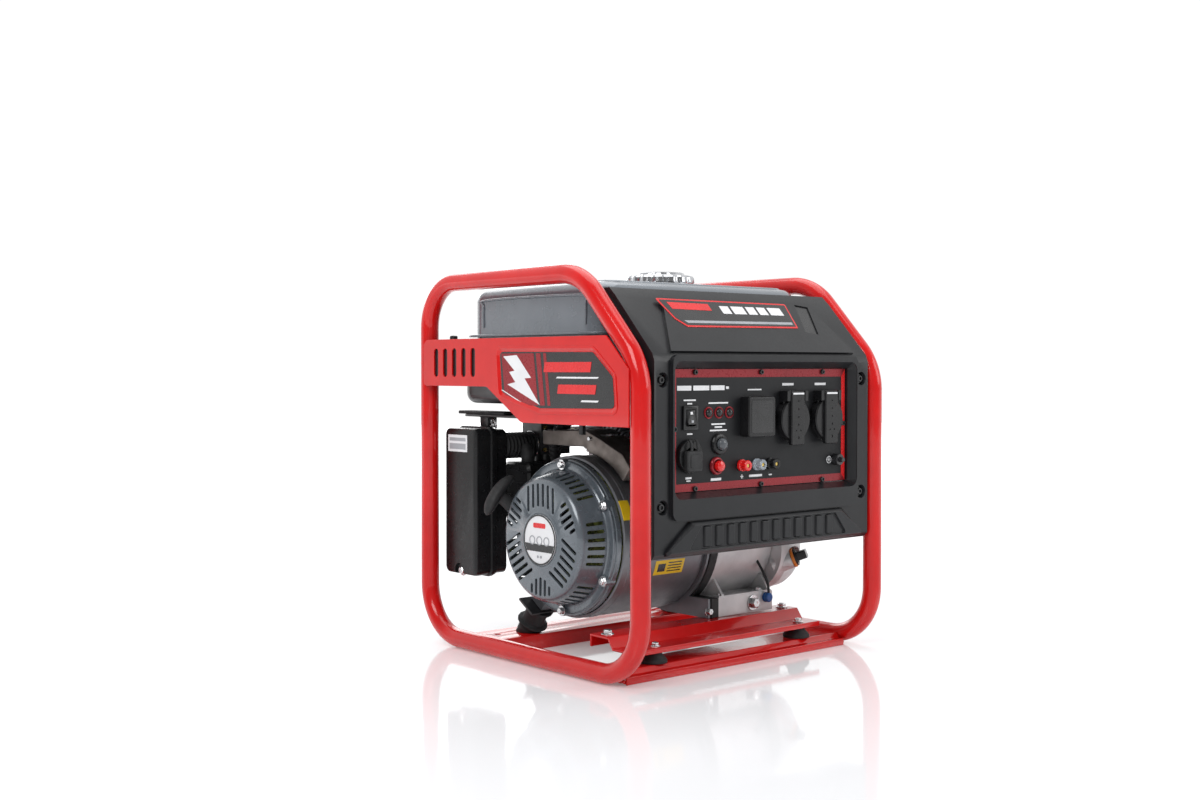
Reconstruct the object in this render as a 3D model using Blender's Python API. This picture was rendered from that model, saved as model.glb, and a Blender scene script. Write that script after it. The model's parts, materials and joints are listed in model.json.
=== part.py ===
"""Open-frame inverter generator: two tube loops, sheet base, recoil-start engine and a control panel.

Metres, +Z up. The front (control panel) faces -Y, the recoil starter faces -X, and the origin is the
middle of the footprint on the ground. The crankshaft lies along X. Outlines are (u, v) pairs: (y, z)
when extruded along X, (x, z) along Y and (x, y) along Z.
"""
import math

import bmesh
import bpy
from mathutils import Matrix, Vector

# Clearance between touching pieces.
GAP = 0.0003

# Frame loops: one bent tube on each side.
TUBE_R = 0.011
LOOP_X = 0.188
LOOP_HALF_DEPTH = 0.194
LOOP_TOP = 0.441
CHAMFER_DEPTH = 0.0956
CHAMFER_HEIGHT = 0.1014
BEND_BOTTOM = 0.062
BEND_REAR_TOP = 0.055
BEND_CHAMFER = 0.075

# Sheet rails of the base and of the engine.
SHEET = 0.0025
BASE_RAIL_HALF = LOOP_X - TUBE_R - GAP
BASE_FRONT_TOP = 0.014
BASE_REAR_TOP = 0.018
ENGINE_RAIL_TOP = 0.044
FRONT_FLANGE = 0.0325
ENGINE_RAIL_HALF = 0.142
FRONT_MOUNT_Y = -0.137
FRONT_MOUNT_X = (-0.118, 0.116)
REAR_MOUNT_Y = 0.084
REAR_MOUNT_X = (-0.120, 0.120)
REAR_MOUNT_TILT = math.radians(33)
REAR_MOUNT_LENGTH = 0.040

# Crankshaft axis and the parts stacked along it, from the recoil starter to the crankcase cover.
CRANK_Y = -0.007
CRANK_Z = 0.1415
RECOIL_FACE_X = -0.1730
SLOT_HALF = 0.0020
SLOT_CIRCLE_R = 0.0645
DRUM_START_X = -0.1275
DRUM_END_X = 0.0045
DRUM_R = 0.094
DRUM_WALL = 0.003
GASKET_END_X = 0.0170
CRANKCASE_END_X = 0.1100
CRANKCASE_R = 0.098
FOOT_TOP = 0.067
COVER_END_X = 0.1300
BOSS_END_X = 0.1520

# Cylinder, leaning to the rear.
CYLINDER_X = 0.064
CYLINDER_LEAN = math.radians(40)
CYLINDER_BASE = 0.1000
CYLINDER_TOP = 0.1550
HEAD_TOP = 0.1850
BORE_R = 0.028

# Fuel tank.
TANK_HALF_WIDTH = 0.165
TANK_FRONT = -0.104
TANK_REAR = 0.146
TANK_BOTTOM = 0.2950
TANK_BULGE = 0.166
BULGE_TOP = 0.3680
SEAM_LOW = 0.3745
SEAM_HIGH = 0.3775
TANK_TOP = 0.434
TANK_WALL = 0.002
FILLER_X = 0.030
FILLER_Y = 0.012
NECK_R = 0.034
CAP_TOP = 0.4550

# Side panels.
PANEL_OUT = 0.2013
PANEL_IN = 0.1993

# Fascia and control plate.
FASCIA_HALF = 0.173
FASCIA_FRONT = -0.2000
FASCIA_WALL = 0.0035
FASCIA_BOTTOM = 0.1365
FASCIA_BREAK = 0.348
FASCIA_TOP = 0.4245
FASCIA_BACK = -0.163
PLATE_FRONT = -0.1895
PLATE_BACK = -0.1875
PLATE_X = (-0.141, 0.142)
PLATE_Z = (0.2045, 0.337)

# Things on the control plate: their x and z. The switch rests tilted to its off side.
ROCKER_TILT = math.radians(10)
ROCKER_AT = (-0.1133, 0.2841)
LAMP_X = (-0.0853, -0.0694, -0.0535)
LAMP_Z = 0.2890
RESET_AT = (-0.0690, 0.2548)
BREAKER_AT = (-0.0735, 0.2310)
DISPLAY_AT = (-0.0140, 0.2836)
SOCKET_X = (0.0455, 0.1035)
SOCKET_Z = 0.2790
DC_AT = (-0.1150, 0.2430)
POST_X = (-0.0345, -0.0105, 0.0115)
POST_Z = 0.2300
GROUND_AT = (0.1240, 0.2302)
LID_HINGE_Z = 0.3085
LID_HINGE_Y = -0.1985

# Recoil starter handle.
GUIDE = Vector((-0.1500, 0.0610, 0.1655))
PULL = Vector((-0.70, 0.25, 0.65)).normalized()
GRIP_ALONG = Vector((0.693, 0.074, 0.718)).normalized()
GRIP_REACH = 0.030
GUIDE_REACH = 0.0140

# Air filter box.
FILTER_SEAM_X = -0.1500
FILTER_COVER_X = -0.1755
FILTER_BASE_X = -0.1285
FILTER_Y = (0.1110, 0.1822)
FILTER_Z = (0.0840, 0.2660)
FILTER_WALL = 0.0025

# Intake line along X between the filter box and the cylinder head.
INTAKE_Y = 0.127
INTAKE_Z = 0.250

# Fuel cock under the tank.
COCK = Vector((-0.115, -0.030, 0.285))

FINISHES = {
    "red_paint": ((0.62, 0.012, 0.010), 0.25, 0.0),
    "charcoal_plastic": ((0.030, 0.032, 0.035), 0.55, 0.0),
    "black_plastic": ((0.012, 0.012, 0.013), 0.45, 0.0),
    "plate_print": ((0.045, 0.046, 0.050), 0.45, 0.2),
    "blue_grey_paint": ((0.125, 0.145, 0.165), 0.32, 0.2),
    "silver_cast": ((0.46, 0.44, 0.42), 0.48, 0.8),
    "grey_cast": ((0.26, 0.27, 0.29), 0.42, 0.7),
    "steel": ((0.55, 0.55, 0.56), 0.30, 1.0),
    "chrome": ((0.80, 0.80, 0.82), 0.10, 1.0),
    "rubber": ((0.015, 0.015, 0.015), 0.75, 0.0),
    "red_plastic": ((0.65, 0.010, 0.010), 0.30, 0.0),
    "clear_plastic": ((0.42, 0.48, 0.54), 0.15, 0.0),
    "fan_plastic": ((0.42, 0.44, 0.16), 0.50, 0.0),
    "copper": ((0.60, 0.28, 0.14), 0.40, 0.9),
    "heat_steel": ((0.17, 0.15, 0.14), 0.50, 0.8),
    "foam": ((0.05, 0.05, 0.05), 0.95, 0.0),
}


def clear_scene():
    for obj in list(bpy.data.objects):
        bpy.data.objects.remove(obj, do_unlink=True)


def finish(name):
    """The material of that finish, made the first time it is asked for."""
    made = bpy.data.materials.get(name)
    if made:
        return made
    color, roughness, metallic = FINISHES[name]
    made = bpy.data.materials.new(name)
    made.use_nodes = True
    shader = made.node_tree.nodes["Principled BSDF"]
    shader.inputs["Base Color"].default_value = (*color, 1.0)
    shader.inputs["Roughness"].default_value = roughness
    shader.inputs["Metallic"].default_value = metallic
    return made


# Meshes

def box(x_range, y_range, z_range):
    low = Vector((x_range[0], y_range[0], z_range[0]))
    high = Vector((x_range[1], y_range[1], z_range[1]))
    size = high - low
    place = Matrix.Translation((low + high) / 2) @ Matrix.Diagonal((*size, 1.0))
    bm = bmesh.new()
    bmesh.ops.create_cube(bm, size=1.0, matrix=place)
    return bm


def around(middle, half):
    """The range of that half width about a middle."""
    return (middle - half, middle + half)


def prism(outline, axis, start, end):
    """A closed outline extruded along one axis."""
    order = {"X": (2, 0, 1), "Y": (0, 2, 1), "Z": (0, 1, 2)}[axis]
    bm = bmesh.new()
    ends = []
    for distance in (start, end):
        ring = []
        for u, v in outline:
            values = (u, v, distance)
            ring.append(bm.verts.new([values[place] for place in order]))
        ends.append(ring)
        bm.faces.new(ring)
    lower, upper = ends
    for index in range(len(outline)):
        after = (index + 1) % len(outline)
        bm.faces.new((lower[index], lower[after], upper[after], upper[index]))
    bmesh.ops.recalc_face_normals(bm, faces=bm.faces)
    return bm


def stitch(bm, first, second):
    """Faces between two rings of one vertex count, either of which may be a single point."""
    count = max(len(first), len(second))
    for index in range(count):
        after = (index + 1) % count
        if len(first) == 1:
            bm.faces.new((first[0], second[after], second[index]))
        elif len(second) == 1:
            bm.faces.new((first[index], first[after], second[0]))
        else:
            bm.faces.new((first[index], first[after], second[after], second[index]))


def turned(origin, direction, profile, segments=24, closed=False):
    """A profile of (distance, radius) points turned about an axis; closed joins its end to its start."""
    origin = Vector(origin)
    turn = Vector(direction).to_track_quat("Z", "Y").to_matrix()
    flat_start = profile[0][1] == 0 and profile[0][0] == profile[1][0]
    flat_end = profile[-1][1] == 0 and profile[-1][0] == profile[-2][0]
    bm = bmesh.new()
    rings = []
    for along, radius in profile[flat_start : len(profile) - flat_end]:
        count = segments if radius > 0 else 1
        ring = []
        for step in range(count):
            angle = 2 * math.pi * step / count
            offset = Vector((radius * math.cos(angle), radius * math.sin(angle), along))
            ring.append(bm.verts.new(origin + turn @ offset))
        rings.append(ring)
    for first, second in zip(rings, rings[1:]):
        stitch(bm, first, second)
    if closed:
        stitch(bm, rings[-1], rings[0])
    if flat_start:
        bm.faces.new(rings[0])
    if flat_end:
        bm.faces.new(rings[-1])
    bmesh.ops.recalc_face_normals(bm, faces=bm.faces)
    return bm


def rod(origin, direction, start, end, radius, segments=24):
    """A plain cylinder between two distances along a direction."""
    return turned(origin, direction, [(start, 0), (start, radius), (end, radius), (end, 0)], segments)


def ring(origin, direction, start, end, outer, inner, segments=24):
    """A plain tube between two distances along a direction."""
    profile = [(start, inner), (start, outer), (end, outer), (end, inner)]
    return turned(origin, direction, profile, segments, closed=True)


def swept(path, radius, sides, closed=False):
    """A round tube along a path of points, with flat ends unless it closes on itself."""
    path = [Vector(point) for point in path]
    bm = bmesh.new()
    rings = []
    side = None
    for index, here in enumerate(path):
        before = path[index - 1] if index or closed else here
        after = path[(index + 1) % len(path)] if index < len(path) - 1 or closed else here
        tangent = (after - before).normalized()
        if side is None:
            side = tangent.orthogonal().normalized()
        side = (side - tangent * side.dot(tangent)).normalized()
        across = tangent.cross(side)
        points = []
        for step in range(sides):
            angle = 2 * math.pi * step / sides
            points.append(bm.verts.new(here + radius * (math.cos(angle) * side + math.sin(angle) * across)))
        rings.append(points)
    for first, second in zip(rings, rings[1:]):
        stitch(bm, first, second)
    if closed:
        stitch(bm, rings[-1], rings[0])
    else:
        bm.faces.new(rings[0])
        bm.faces.new(rings[-1])
    bmesh.ops.recalc_face_normals(bm, faces=bm.faces)
    return bm


def rounded(corners, radii, steps=4):
    """A closed outline with each corner replaced by an arc of its own radius."""
    corners = [Vector(corner) for corner in corners]
    outline = []
    for index, here in enumerate(corners):
        radius = radii[index] if isinstance(radii, (list, tuple)) else radii
        if radius == 0:
            outline.append(here)
            continue
        back = (corners[index - 1] - here).normalized()
        ahead = (corners[(index + 1) % len(corners)] - here).normalized()
        half = back.angle(ahead) / 2
        centre = here + (back + ahead).normalized() * radius / math.sin(half)
        start = here + back * radius / math.tan(half) - centre
        end = here + ahead * radius / math.tan(half) - centre
        first = math.atan2(start.y, start.x)
        sweep = (math.atan2(end.y, end.x) - first + math.pi) % (2 * math.pi) - math.pi
        for step in range(steps + 1):
            angle = first + sweep * step / steps
            outline.append(centre + radius * Vector((math.cos(angle), math.sin(angle))))
    return outline


def rectangle(u_range, v_range):
    return [
        (u_range[0], v_range[0]),
        (u_range[1], v_range[0]),
        (u_range[1], v_range[1]),
        (u_range[0], v_range[1]),
    ]


def folded(points, thickness):
    """Closed outline of a sheet folded along points, its thickness laid to their left."""
    points = [Vector(point) for point in points]
    runs = [(after - before).normalized() for before, after in zip(points, points[1:])]
    offset = []
    for index, here in enumerate(points):
        run_in = runs[max(index - 1, 0)]
        run_out = runs[min(index, len(runs) - 1)]
        normal = Vector((-run_in.y, run_in.x))
        mitre = (normal + Vector((-run_out.y, run_out.x))).normalized()
        offset.append(here + mitre * thickness / mitre.dot(normal))
    return points + offset[::-1]


def arc(centre, radius, start, end, steps):
    """Points of an arc, angles in degrees."""
    points = []
    for step in range(steps + 1):
        angle = math.radians(start + (end - start) * step / steps)
        points.append(Vector(centre) + radius * Vector((math.cos(angle), math.sin(angle))))
    return points


def combined(meshes):
    """Separate closed shapes held in one mesh, for cutting."""
    whole = bmesh.new()
    for bm in meshes:
        mesh = bpy.data.meshes.new("piece")
        bm.to_mesh(mesh)
        bm.free()
        whole.from_mesh(mesh)
        bpy.data.meshes.remove(mesh)
    return whole


# Objects

def add(name, bm, finish_name, smooth=True):
    mesh = bpy.data.meshes.new(name)
    bm.to_mesh(mesh)
    bm.free()
    obj = bpy.data.objects.new(name, mesh)
    bpy.context.scene.collection.objects.link(obj)
    if finish_name:
        mesh.materials.append(finish(finish_name))
    if smooth:
        mesh.shade_smooth()
        mesh.set_sharp_from_angle(angle=math.radians(35))
    return obj


def boolean(target, meshes, operation):
    """Join each mesh to the target, or cut all of them from it at once."""
    groups = [combined(meshes)] if operation == "DIFFERENCE" else meshes
    for bm in groups:
        number = len(target.modifiers) + 1
        tool = add(f"{target.name}_tool_{number}", bm, None, smooth=False)
        tool.hide_render = True
        tool.display_type = "WIRE"
        modifier = target.modifiers.new(f"{operation.lower()}_{number}", "BOOLEAN")
        modifier.operation = operation
        modifier.object = tool


def join(target, *meshes):
    boolean(target, meshes, "UNION")


def cut(target, *meshes):
    boolean(target, meshes, "DIFFERENCE")


def pivot(obj, point):
    """Put the object's origin on its joint."""
    point = Vector(point)
    obj.data.transform(Matrix.Translation(-point))
    obj.location = point


def hang_on_axis(axis_name, point, objects):
    """Parent pieces that turn together to one empty on their axis."""
    empty = bpy.data.objects.new(axis_name, None)
    empty.location = point
    bpy.context.scene.collection.objects.link(empty)
    for obj in objects:
        pivot(obj, point)
        obj.parent = empty
        obj.location = (0, 0, 0)


# Frame

def loop_corners():
    return [
        (-LOOP_HALF_DEPTH, TUBE_R),
        (LOOP_HALF_DEPTH, TUBE_R),
        (LOOP_HALF_DEPTH, LOOP_TOP),
        (-LOOP_HALF_DEPTH + CHAMFER_DEPTH, LOOP_TOP),
        (-LOOP_HALF_DEPTH, LOOP_TOP - CHAMFER_HEIGHT),
    ]


def build_frame():
    radii = [BEND_BOTTOM, BEND_BOTTOM, BEND_REAR_TOP, BEND_CHAMFER, BEND_CHAMFER]
    outline = rounded(loop_corners(), radii, steps=6)
    for name, x in (("frame_loop_left", -LOOP_X), ("frame_loop_right", LOOP_X)):
        path = [(x, point.x, point.y) for point in outline]
        add(name, swept(path, TUBE_R, 10, closed=True), "red_paint")

    front_section = [
        (-0.122, 0),
        (-0.108, 0),
        (-0.108, BASE_FRONT_TOP),
        (-0.149, BASE_FRONT_TOP),
        (-0.153, 0.0085),
        (-0.160, 0.0085),
        (-0.160, 0),
    ]
    rear_section = [
        (0.104, 0),
        (0.120, 0),
        (0.120, BASE_REAR_TOP),
        (0.060, BASE_REAR_TOP),
        (0.060, 0),
        (0.076, 0),
    ]
    for name, section in (("base_rail_front", front_section), ("base_rail_rear", rear_section)):
        rail = prism(folded(section, SHEET), "X", -BASE_RAIL_HALF, BASE_RAIL_HALF)
        add(name, rail, "red_paint", smooth=False)

    rear_rail = bpy.data.objects["base_rail_rear"]
    cut(rear_rail, *[rod((x, 0.092, 0), (0, 0, 1), 0.010, 0.030, 0.0035, 12) for x in (-0.160, 0.160)])


def build_engine_rails():
    section = [
        (-0.085, 0.030),
        (-0.085, ENGINE_RAIL_TOP),
        (-0.116, ENGINE_RAIL_TOP),
        (-0.124, FRONT_FLANGE),
        (-0.152, FRONT_FLANGE),
        (-0.152, 0.0265),
    ]
    rail = prism(folded(section, SHEET), "X", -0.165, ENGINE_RAIL_HALF)
    add("engine_rail_front", rail, "red_paint", smooth=False)

    plate = tilted_outline(REAR_MOUNT_LENGTH + GAP, REAR_MOUNT_LENGTH + GAP + 0.003, 0.015)
    rear = prism(plate, "X", -ENGINE_RAIL_HALF, ENGINE_RAIL_HALF)
    add("engine_rail_rear", rear, "black_plastic", smooth=False)


def tilted_outline(start, end, half_width):
    """(y, z) rectangle on the line of the rear mounts, between two distances from their foot."""
    along = Vector((-math.sin(REAR_MOUNT_TILT), math.cos(REAR_MOUNT_TILT)))
    across = Vector((along.y, -along.x))
    foot = Vector((REAR_MOUNT_Y, BASE_REAR_TOP))
    return [
        foot + along * start - across * half_width,
        foot + along * start + across * half_width,
        foot + along * end + across * half_width,
        foot + along * end - across * half_width,
    ]


def build_mounts():
    height = FRONT_FLANGE - SHEET - GAP - (BASE_FRONT_TOP + GAP)
    front_profile = [
        (0, 0),
        (0, 0.016),
        (0.005, 0.0155),
        (0.010, 0.0105),
        (height, 0.009),
        (height, 0),
    ]
    for side, x in zip(("left", "right"), FRONT_MOUNT_X):
        base = (x, FRONT_MOUNT_Y, BASE_FRONT_TOP + GAP)
        add(f"rubber_mount_front_{side}", turned(base, (0, 0, 1), front_profile, 16), "rubber")

    direction = (0, -math.sin(REAR_MOUNT_TILT), math.cos(REAR_MOUNT_TILT))
    rear_profile = [
        (-0.012, 0),
        (-0.012, 0.0145),
        (0.009, 0.0145),
        (0.014, 0.0105),
        (0.015, 0.0190),
        (0.017, 0.0190),
        (0.018, 0.0135),
        (0.036, 0.0135),
        (0.037, 0.0185),
        (REAR_MOUNT_LENGTH, 0.0185),
        (REAR_MOUNT_LENGTH, 0),
    ]
    floor = BASE_REAR_TOP + GAP
    for side, x in zip(("left", "right"), REAR_MOUNT_X):
        spool = turned((x, REAR_MOUNT_Y, BASE_REAR_TOP), direction, rear_profile, 16)
        mount = add(f"rubber_mount_rear_{side}", spool, "rubber")
        cut(mount, box(around(x, 0.03), around(REAR_MOUNT_Y, 0.04), (-0.02, floor)))


# Side panels

def panel_outline():
    """(y, z) outline of a side panel, from its lower front corner."""
    corners = [
        (-0.1900, 0.276),
        (-0.008, 0.276),
        (0.058, 0.316),
        (0.1880, 0.316),
        (0.1880, 0.372),
        (-0.154, 0.372),
        (-0.1900, 0.336),
    ]
    return rounded(corners, [0, 0.010, 0.010, 0.006, 0.010, 0.004, 0.004], steps=3)


def build_side_panels():
    for name, side in (("side_panel_left", -1), ("side_panel_right", 1)):
        span = sorted((side * PANEL_OUT, side * PANEL_IN))
        panel = add(name, prism(panel_outline(), "X", *span), "red_paint", smooth=False)
        lip = sorted((side * (PANEL_IN + 0.0005), side * 0.1745))
        join(panel, box(lip, (-0.138, 0.178), (0.3700, 0.3716)))
        slots = []
        for step in range(5):
            y = 0.085 + 0.019 * step
            outline = rounded(rectangle(around(y, 0.0045), (0.327, 0.361)), 0.004, steps=2)
            slots.append(prism(outline, "X", *sorted((side * 0.190, side * 0.210))))
        cut(panel, *slots)


# Fuel tank

def rounded_block(x_half, y_range, z_range, corner, edge, soft_ends=(-1, 1)):
    """A block with rounded upright corners and softened edges at the bottom (-1), the top (1) or both."""
    corners = rectangle((-x_half, x_half), y_range)
    bm = prism(rounded(corners, corner, steps=4), "Z", *z_range)
    flat = [face for face in bm.faces if round(face.normal.z) in soft_ends]
    rim = list({rim_edge for face in flat for rim_edge in face.edges})
    bmesh.ops.bevel(bm, geom=rim, offset=edge, segments=2, affect="EDGES", profile=0.5)
    return bm


def build_tank():
    outer_y = (TANK_FRONT, TANK_REAR)
    inner_y = (TANK_FRONT + TANK_WALL, TANK_REAR - TANK_WALL)
    lower = rounded_block(TANK_HALF_WIDTH, outer_y, (TANK_BOTTOM, SEAM_LOW + 0.001), 0.030, 0.012, (-1,))
    tank = add("fuel_tank", lower, "blue_grey_paint")
    upper = rounded_block(TANK_HALF_WIDTH, outer_y, (SEAM_HIGH - 0.001, TANK_TOP), 0.030, 0.012, (1,))
    seam_corners = rectangle(around(0, TANK_HALF_WIDTH + 0.009), (TANK_FRONT - 0.002, TANK_REAR + 0.008))
    seam = prism(rounded(seam_corners, 0.034, steps=4), "Z", SEAM_LOW, SEAM_HIGH)
    neck = rod((FILLER_X, FILLER_Y, 0), (0, 0, 1), TANK_TOP - 0.004, TANK_TOP + 0.006, NECK_R)
    bulge_z = (TANK_BOTTOM + 0.001, BULGE_TOP)
    bulge = rounded_block(TANK_HALF_WIDTH - 0.001, (0.040, TANK_BULGE), bulge_z, 0.030, 0.010)
    join(tank, seam, upper, neck, bulge)
    inner_half = TANK_HALF_WIDTH - TANK_WALL
    inner_z = (TANK_BOTTOM + TANK_WALL, TANK_TOP - TANK_WALL)
    cut(tank, rounded_block(inner_half, inner_y, inner_z, 0.028, 0.010))
    cut(tank, rod((FILLER_X, FILLER_Y, 0), (0, 0, 1), TANK_TOP - 0.020, TANK_TOP + 0.020, NECK_R - 0.004))

    centre = (FILLER_X, FILLER_Y, 0)
    cap_profile = [
        (TANK_TOP + 0.006 + GAP, 0),
        (TANK_TOP + 0.006 + GAP, NECK_R + 0.0005),
        (TANK_TOP + 0.002, NECK_R + 0.0005),
        (TANK_TOP + 0.002, 0.0420),
        (TANK_TOP + 0.014, 0.0435),
        (CAP_TOP - 0.004, 0.0420),
        (CAP_TOP - 0.004, 0.0330),
        (CAP_TOP, 0.0300),
        (CAP_TOP, 0),
    ]
    cap = add("fuel_cap", turned(centre, (0, 0, 1), cap_profile, 28), "chrome")
    pivot(cap, (FILLER_X, FILLER_Y, TANK_TOP + 0.006))


def build_fuel_cock():
    body = rod((COCK.x, COCK.y, 0), (0, 0, 1), COCK.z - 0.010, TANK_BOTTOM - GAP, 0.0080, 16)
    cock = add("fuel_cock", body, "grey_cast")
    stem = rod(COCK, (-1, 0, 0), 0, 0.011, 0.0050, 12)
    barb = rod(COCK, (0, 1, 0), 0, 0.016, 0.0025, 12)
    join(cock, stem, barb)

    hub = Vector((COCK.x - 0.011 - GAP, COCK.y, COCK.z))
    lever = add("fuel_cock_lever", rod(hub, (-1, 0, 0), 0, 0.006, 0.0065, 16), "black_plastic")
    arm = box((hub.x - 0.0055, hub.x - 0.001), around(hub.y, 0.0035), (hub.z - 0.024, hub.z))
    join(lever, arm)
    pivot(lever, hub)

    inlet = Vector((-0.060, INTAKE_Y - 0.0200, INTAKE_Z + 0.012))
    start = COCK + Vector((0, 0.0170, 0))
    bend = [start, start + Vector((0, 0.030, 0)), inlet - Vector((0, 0.045, 0)), inlet]
    route = []
    for step in range(13):
        t = step / 12
        weights = ((1 - t) ** 3, 3 * t * (1 - t) ** 2, 3 * t * t * (1 - t), t ** 3)
        route.append(sum((weight * point for weight, point in zip(weights, bend)), Vector()))
    add("fuel_hose", swept(route, 0.0035, 8), "rubber")


# Fascia and control plate

def fascia_outer():
    """(y, z) outer line of the fascia from its bottom rear edge to its top rear edge."""
    return [
        (-0.160, FASCIA_BOTTOM),
        (-0.196, FASCIA_BOTTOM),
        (FASCIA_FRONT, FASCIA_BOTTOM + 0.004),
        (FASCIA_FRONT, FASCIA_BREAK - 0.006),
        (FASCIA_FRONT + 0.0035, FASCIA_BREAK + 0.004),
        (-0.136, FASCIA_TOP - 0.008),
        (-0.126, FASCIA_TOP),
        (-0.110, FASCIA_TOP),
    ]


def bumper_outline(inset):
    """(x, z) outline of the ribbed bumper at the foot of the fascia."""
    return [
        (-0.158 + inset, FASCIA_BOTTOM + 0.002 + inset),
        (0.158 - inset, FASCIA_BOTTOM + 0.002 + inset),
        (0.158 - inset, FASCIA_BOTTOM + 0.006 + inset),
        (0.122 - inset, 0.1725 - inset),
        (-0.122 + inset, 0.1725 - inset),
        (-0.158 + inset, FASCIA_BOTTOM + 0.006 + inset),
    ]


def build_fascia():
    outer = fascia_outer()
    shell = prism(folded(outer[::-1], FASCIA_WALL), "X", -FASCIA_HALF, FASCIA_HALF)
    fascia = add("fascia", shell, "charcoal_plastic", smooth=False)
    inside = Vector((0.0008, 0.0008))
    cheek = [Vector(point) + inside * sign for point, sign in zip(outer, (0, 0, 1, 1, 1, 0, -1, -1))]
    cheek += [Vector((-0.112, 0.385)), Vector((FASCIA_BACK, 0.342))]
    cheek.append(Vector((FASCIA_BACK, FASCIA_BOTTOM + 0.0008)))
    cheek[0] = Vector((-0.170, FASCIA_BOTTOM + 0.0008))
    cheek[1] = Vector((-0.1955, FASCIA_BOTTOM + 0.0008))
    for side in (-1, 1):
        span = sorted((side * (FASCIA_HALF - 0.0005), side * (FASCIA_HALF - 0.0035)))
        join(fascia, prism(cheek, "X", *span))

    frame_x = (PLATE_X[0] - 0.0035, PLATE_X[1] + 0.0035)
    frame_z = (PLATE_Z[0] - 0.0035, PLATE_Z[1] + 0.0035)
    recess = prism(rounded(rectangle(frame_x, frame_z), 0.008, steps=3), "Y", -0.198, -0.1840)
    join(fascia, recess)
    bumper = prism(bumper_outline(0), "Y", -0.1980, -0.2040)
    join(fascia, bumper)

    pocket_x = (PLATE_X[0] - GAP, PLATE_X[1] + GAP)
    pocket_z = (PLATE_Z[0] - GAP, PLATE_Z[1] + GAP)
    pocket = box(pocket_x, (-0.210, PLATE_BACK + GAP), pocket_z)
    window_x = (PLATE_X[0] + 0.010, PLATE_X[1] - 0.010)
    window_z = (PLATE_Z[0] + 0.010, PLATE_Z[1] - 0.010)
    window = box(window_x, (-0.195, -0.175), window_z)
    cut(fascia, pocket)
    cut(fascia, window)
    grooves = []
    for step in range(12):
        x = -0.099 + 0.018 * step
        grooves.append(box(around(x, 0.0025), (-0.210, -0.2015), (FASCIA_BOTTOM + 0.008, 0.168)))
    cut(fascia, *grooves)
    screw_at = [(x, 0, z) for x in (-0.161, 0.161) for z in (0.191, 0.325)]
    screws = [rod(at, (0, -1, 0), 0.1980, 0.2100, 0.0052, 12) for at in screw_at]
    cut(fascia, *screws)


def panel_rod(at, start, end, radius, segments=20):
    """A cylinder standing on the control plate, its distances counted outward from the plate's face."""
    return rod((at[0], PLATE_FRONT, at[1]), (0, -1, 0), start, end, radius, segments)


def panel_ring(at, start, end, outer, inner, segments=20):
    return ring((at[0], PLATE_FRONT, at[1]), (0, -1, 0), start, end, outer, inner, segments)


def panel_turned(at, profile, segments=20):
    return turned((at[0], PLATE_FRONT, at[1]), (0, -1, 0), profile, segments)


def panel_box(at, half_x, half_z, start, end):
    """A block standing on the control plate, its distances counted outward from the plate's face."""
    return box(around(at[0], half_x), (PLATE_FRONT - end, PLATE_FRONT - start), around(at[1], half_z))


THROUGH = -(PLATE_BACK - PLATE_FRONT) - 0.002
BEHIND = -(PLATE_BACK - PLATE_FRONT) - 0.012
WITHIN = -0.001


def build_control_plate():
    """The plate with its fixed fittings: three pilot lamps, two button bezels and four terminal studs."""
    sheet = box(PLATE_X, (PLATE_FRONT, PLATE_BACK), PLATE_Z)
    plate = add("control_plate", sheet, "plate_print", smooth=False)
    fittings = []
    for x in LAMP_X:
        lamp = [(WITHIN, 0), (WITHIN, 0.0055), (0.0015, 0.0055), (0.0035, 0.0035), (0.0045, 0)]
        fittings.append(panel_turned((x, LAMP_Z), lamp, 12))
    for at, outer in ((RESET_AT, 0.0105), (BREAKER_AT, 0.0098)):
        bezel = [(WITHIN, 0), (WITHIN, outer), (0.0040, outer - 0.0010), (0.0040, 0)]
        fittings.append(panel_turned(at, bezel, 20))
    for x in POST_X:
        fittings.append(panel_rod((x, POST_Z), WITHIN, 0.0110, 0.0026, 12))
    fittings.append(panel_rod(GROUND_AT, WITHIN, 0.0135, 0.0029, 12))
    join(plate, combined(fittings))

    holes = [panel_box(ROCKER_AT, 0.0093, 0.0113, THROUGH, 0.002)]
    for x in SOCKET_X:
        holes.append(panel_rod((x, SOCKET_Z), THROUGH, 0.002, 0.0213, 20))
    for at in (RESET_AT, BREAKER_AT):
        bore = [(THROUGH, 0), (THROUGH, 0.0051), (0.0010, 0.0051),
                (0.0010, 0.0072), (0.0060, 0.0072), (0.0060, 0)]
        holes.append(panel_turned(at, bore, 16))
    holes.append(panel_rod(DC_AT, THROUGH, 0.002, 0.0143, 20))
    cut(plate, *holes)


def build_switch():
    shell = panel_box(ROCKER_AT, 0.0110, 0.0130, GAP, 0.0025)
    housing = add("engine_switch_housing", shell, "black_plastic", False)
    join(housing, panel_box(ROCKER_AT, 0.0090, 0.0110, BEHIND, 0.001))
    cut(housing, panel_box(ROCKER_AT, 0.0068, 0.0088, -0.0060, 0.005))
    hinge = Vector((ROCKER_AT[0], PLATE_FRONT, ROCKER_AT[1]))
    outline = [
        (-0.0003, -0.0078),
        (-0.0040, -0.0078),
        (-0.0034, -0.0040),
        (-0.0030, 0),
        (-0.0034, 0.0040),
        (-0.0040, 0.0078),
        (-0.0003, 0.0078),
        (0.0030, 0.0040),
        (0.0030, -0.0040),
    ]
    rocker = add("engine_switch_rocker", prism(outline, "X", *around(0, 0.0065)), "black_plastic", False)
    rocker.location = hinge
    rocker.rotation_euler = (-ROCKER_TILT, 0, 0)


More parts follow.
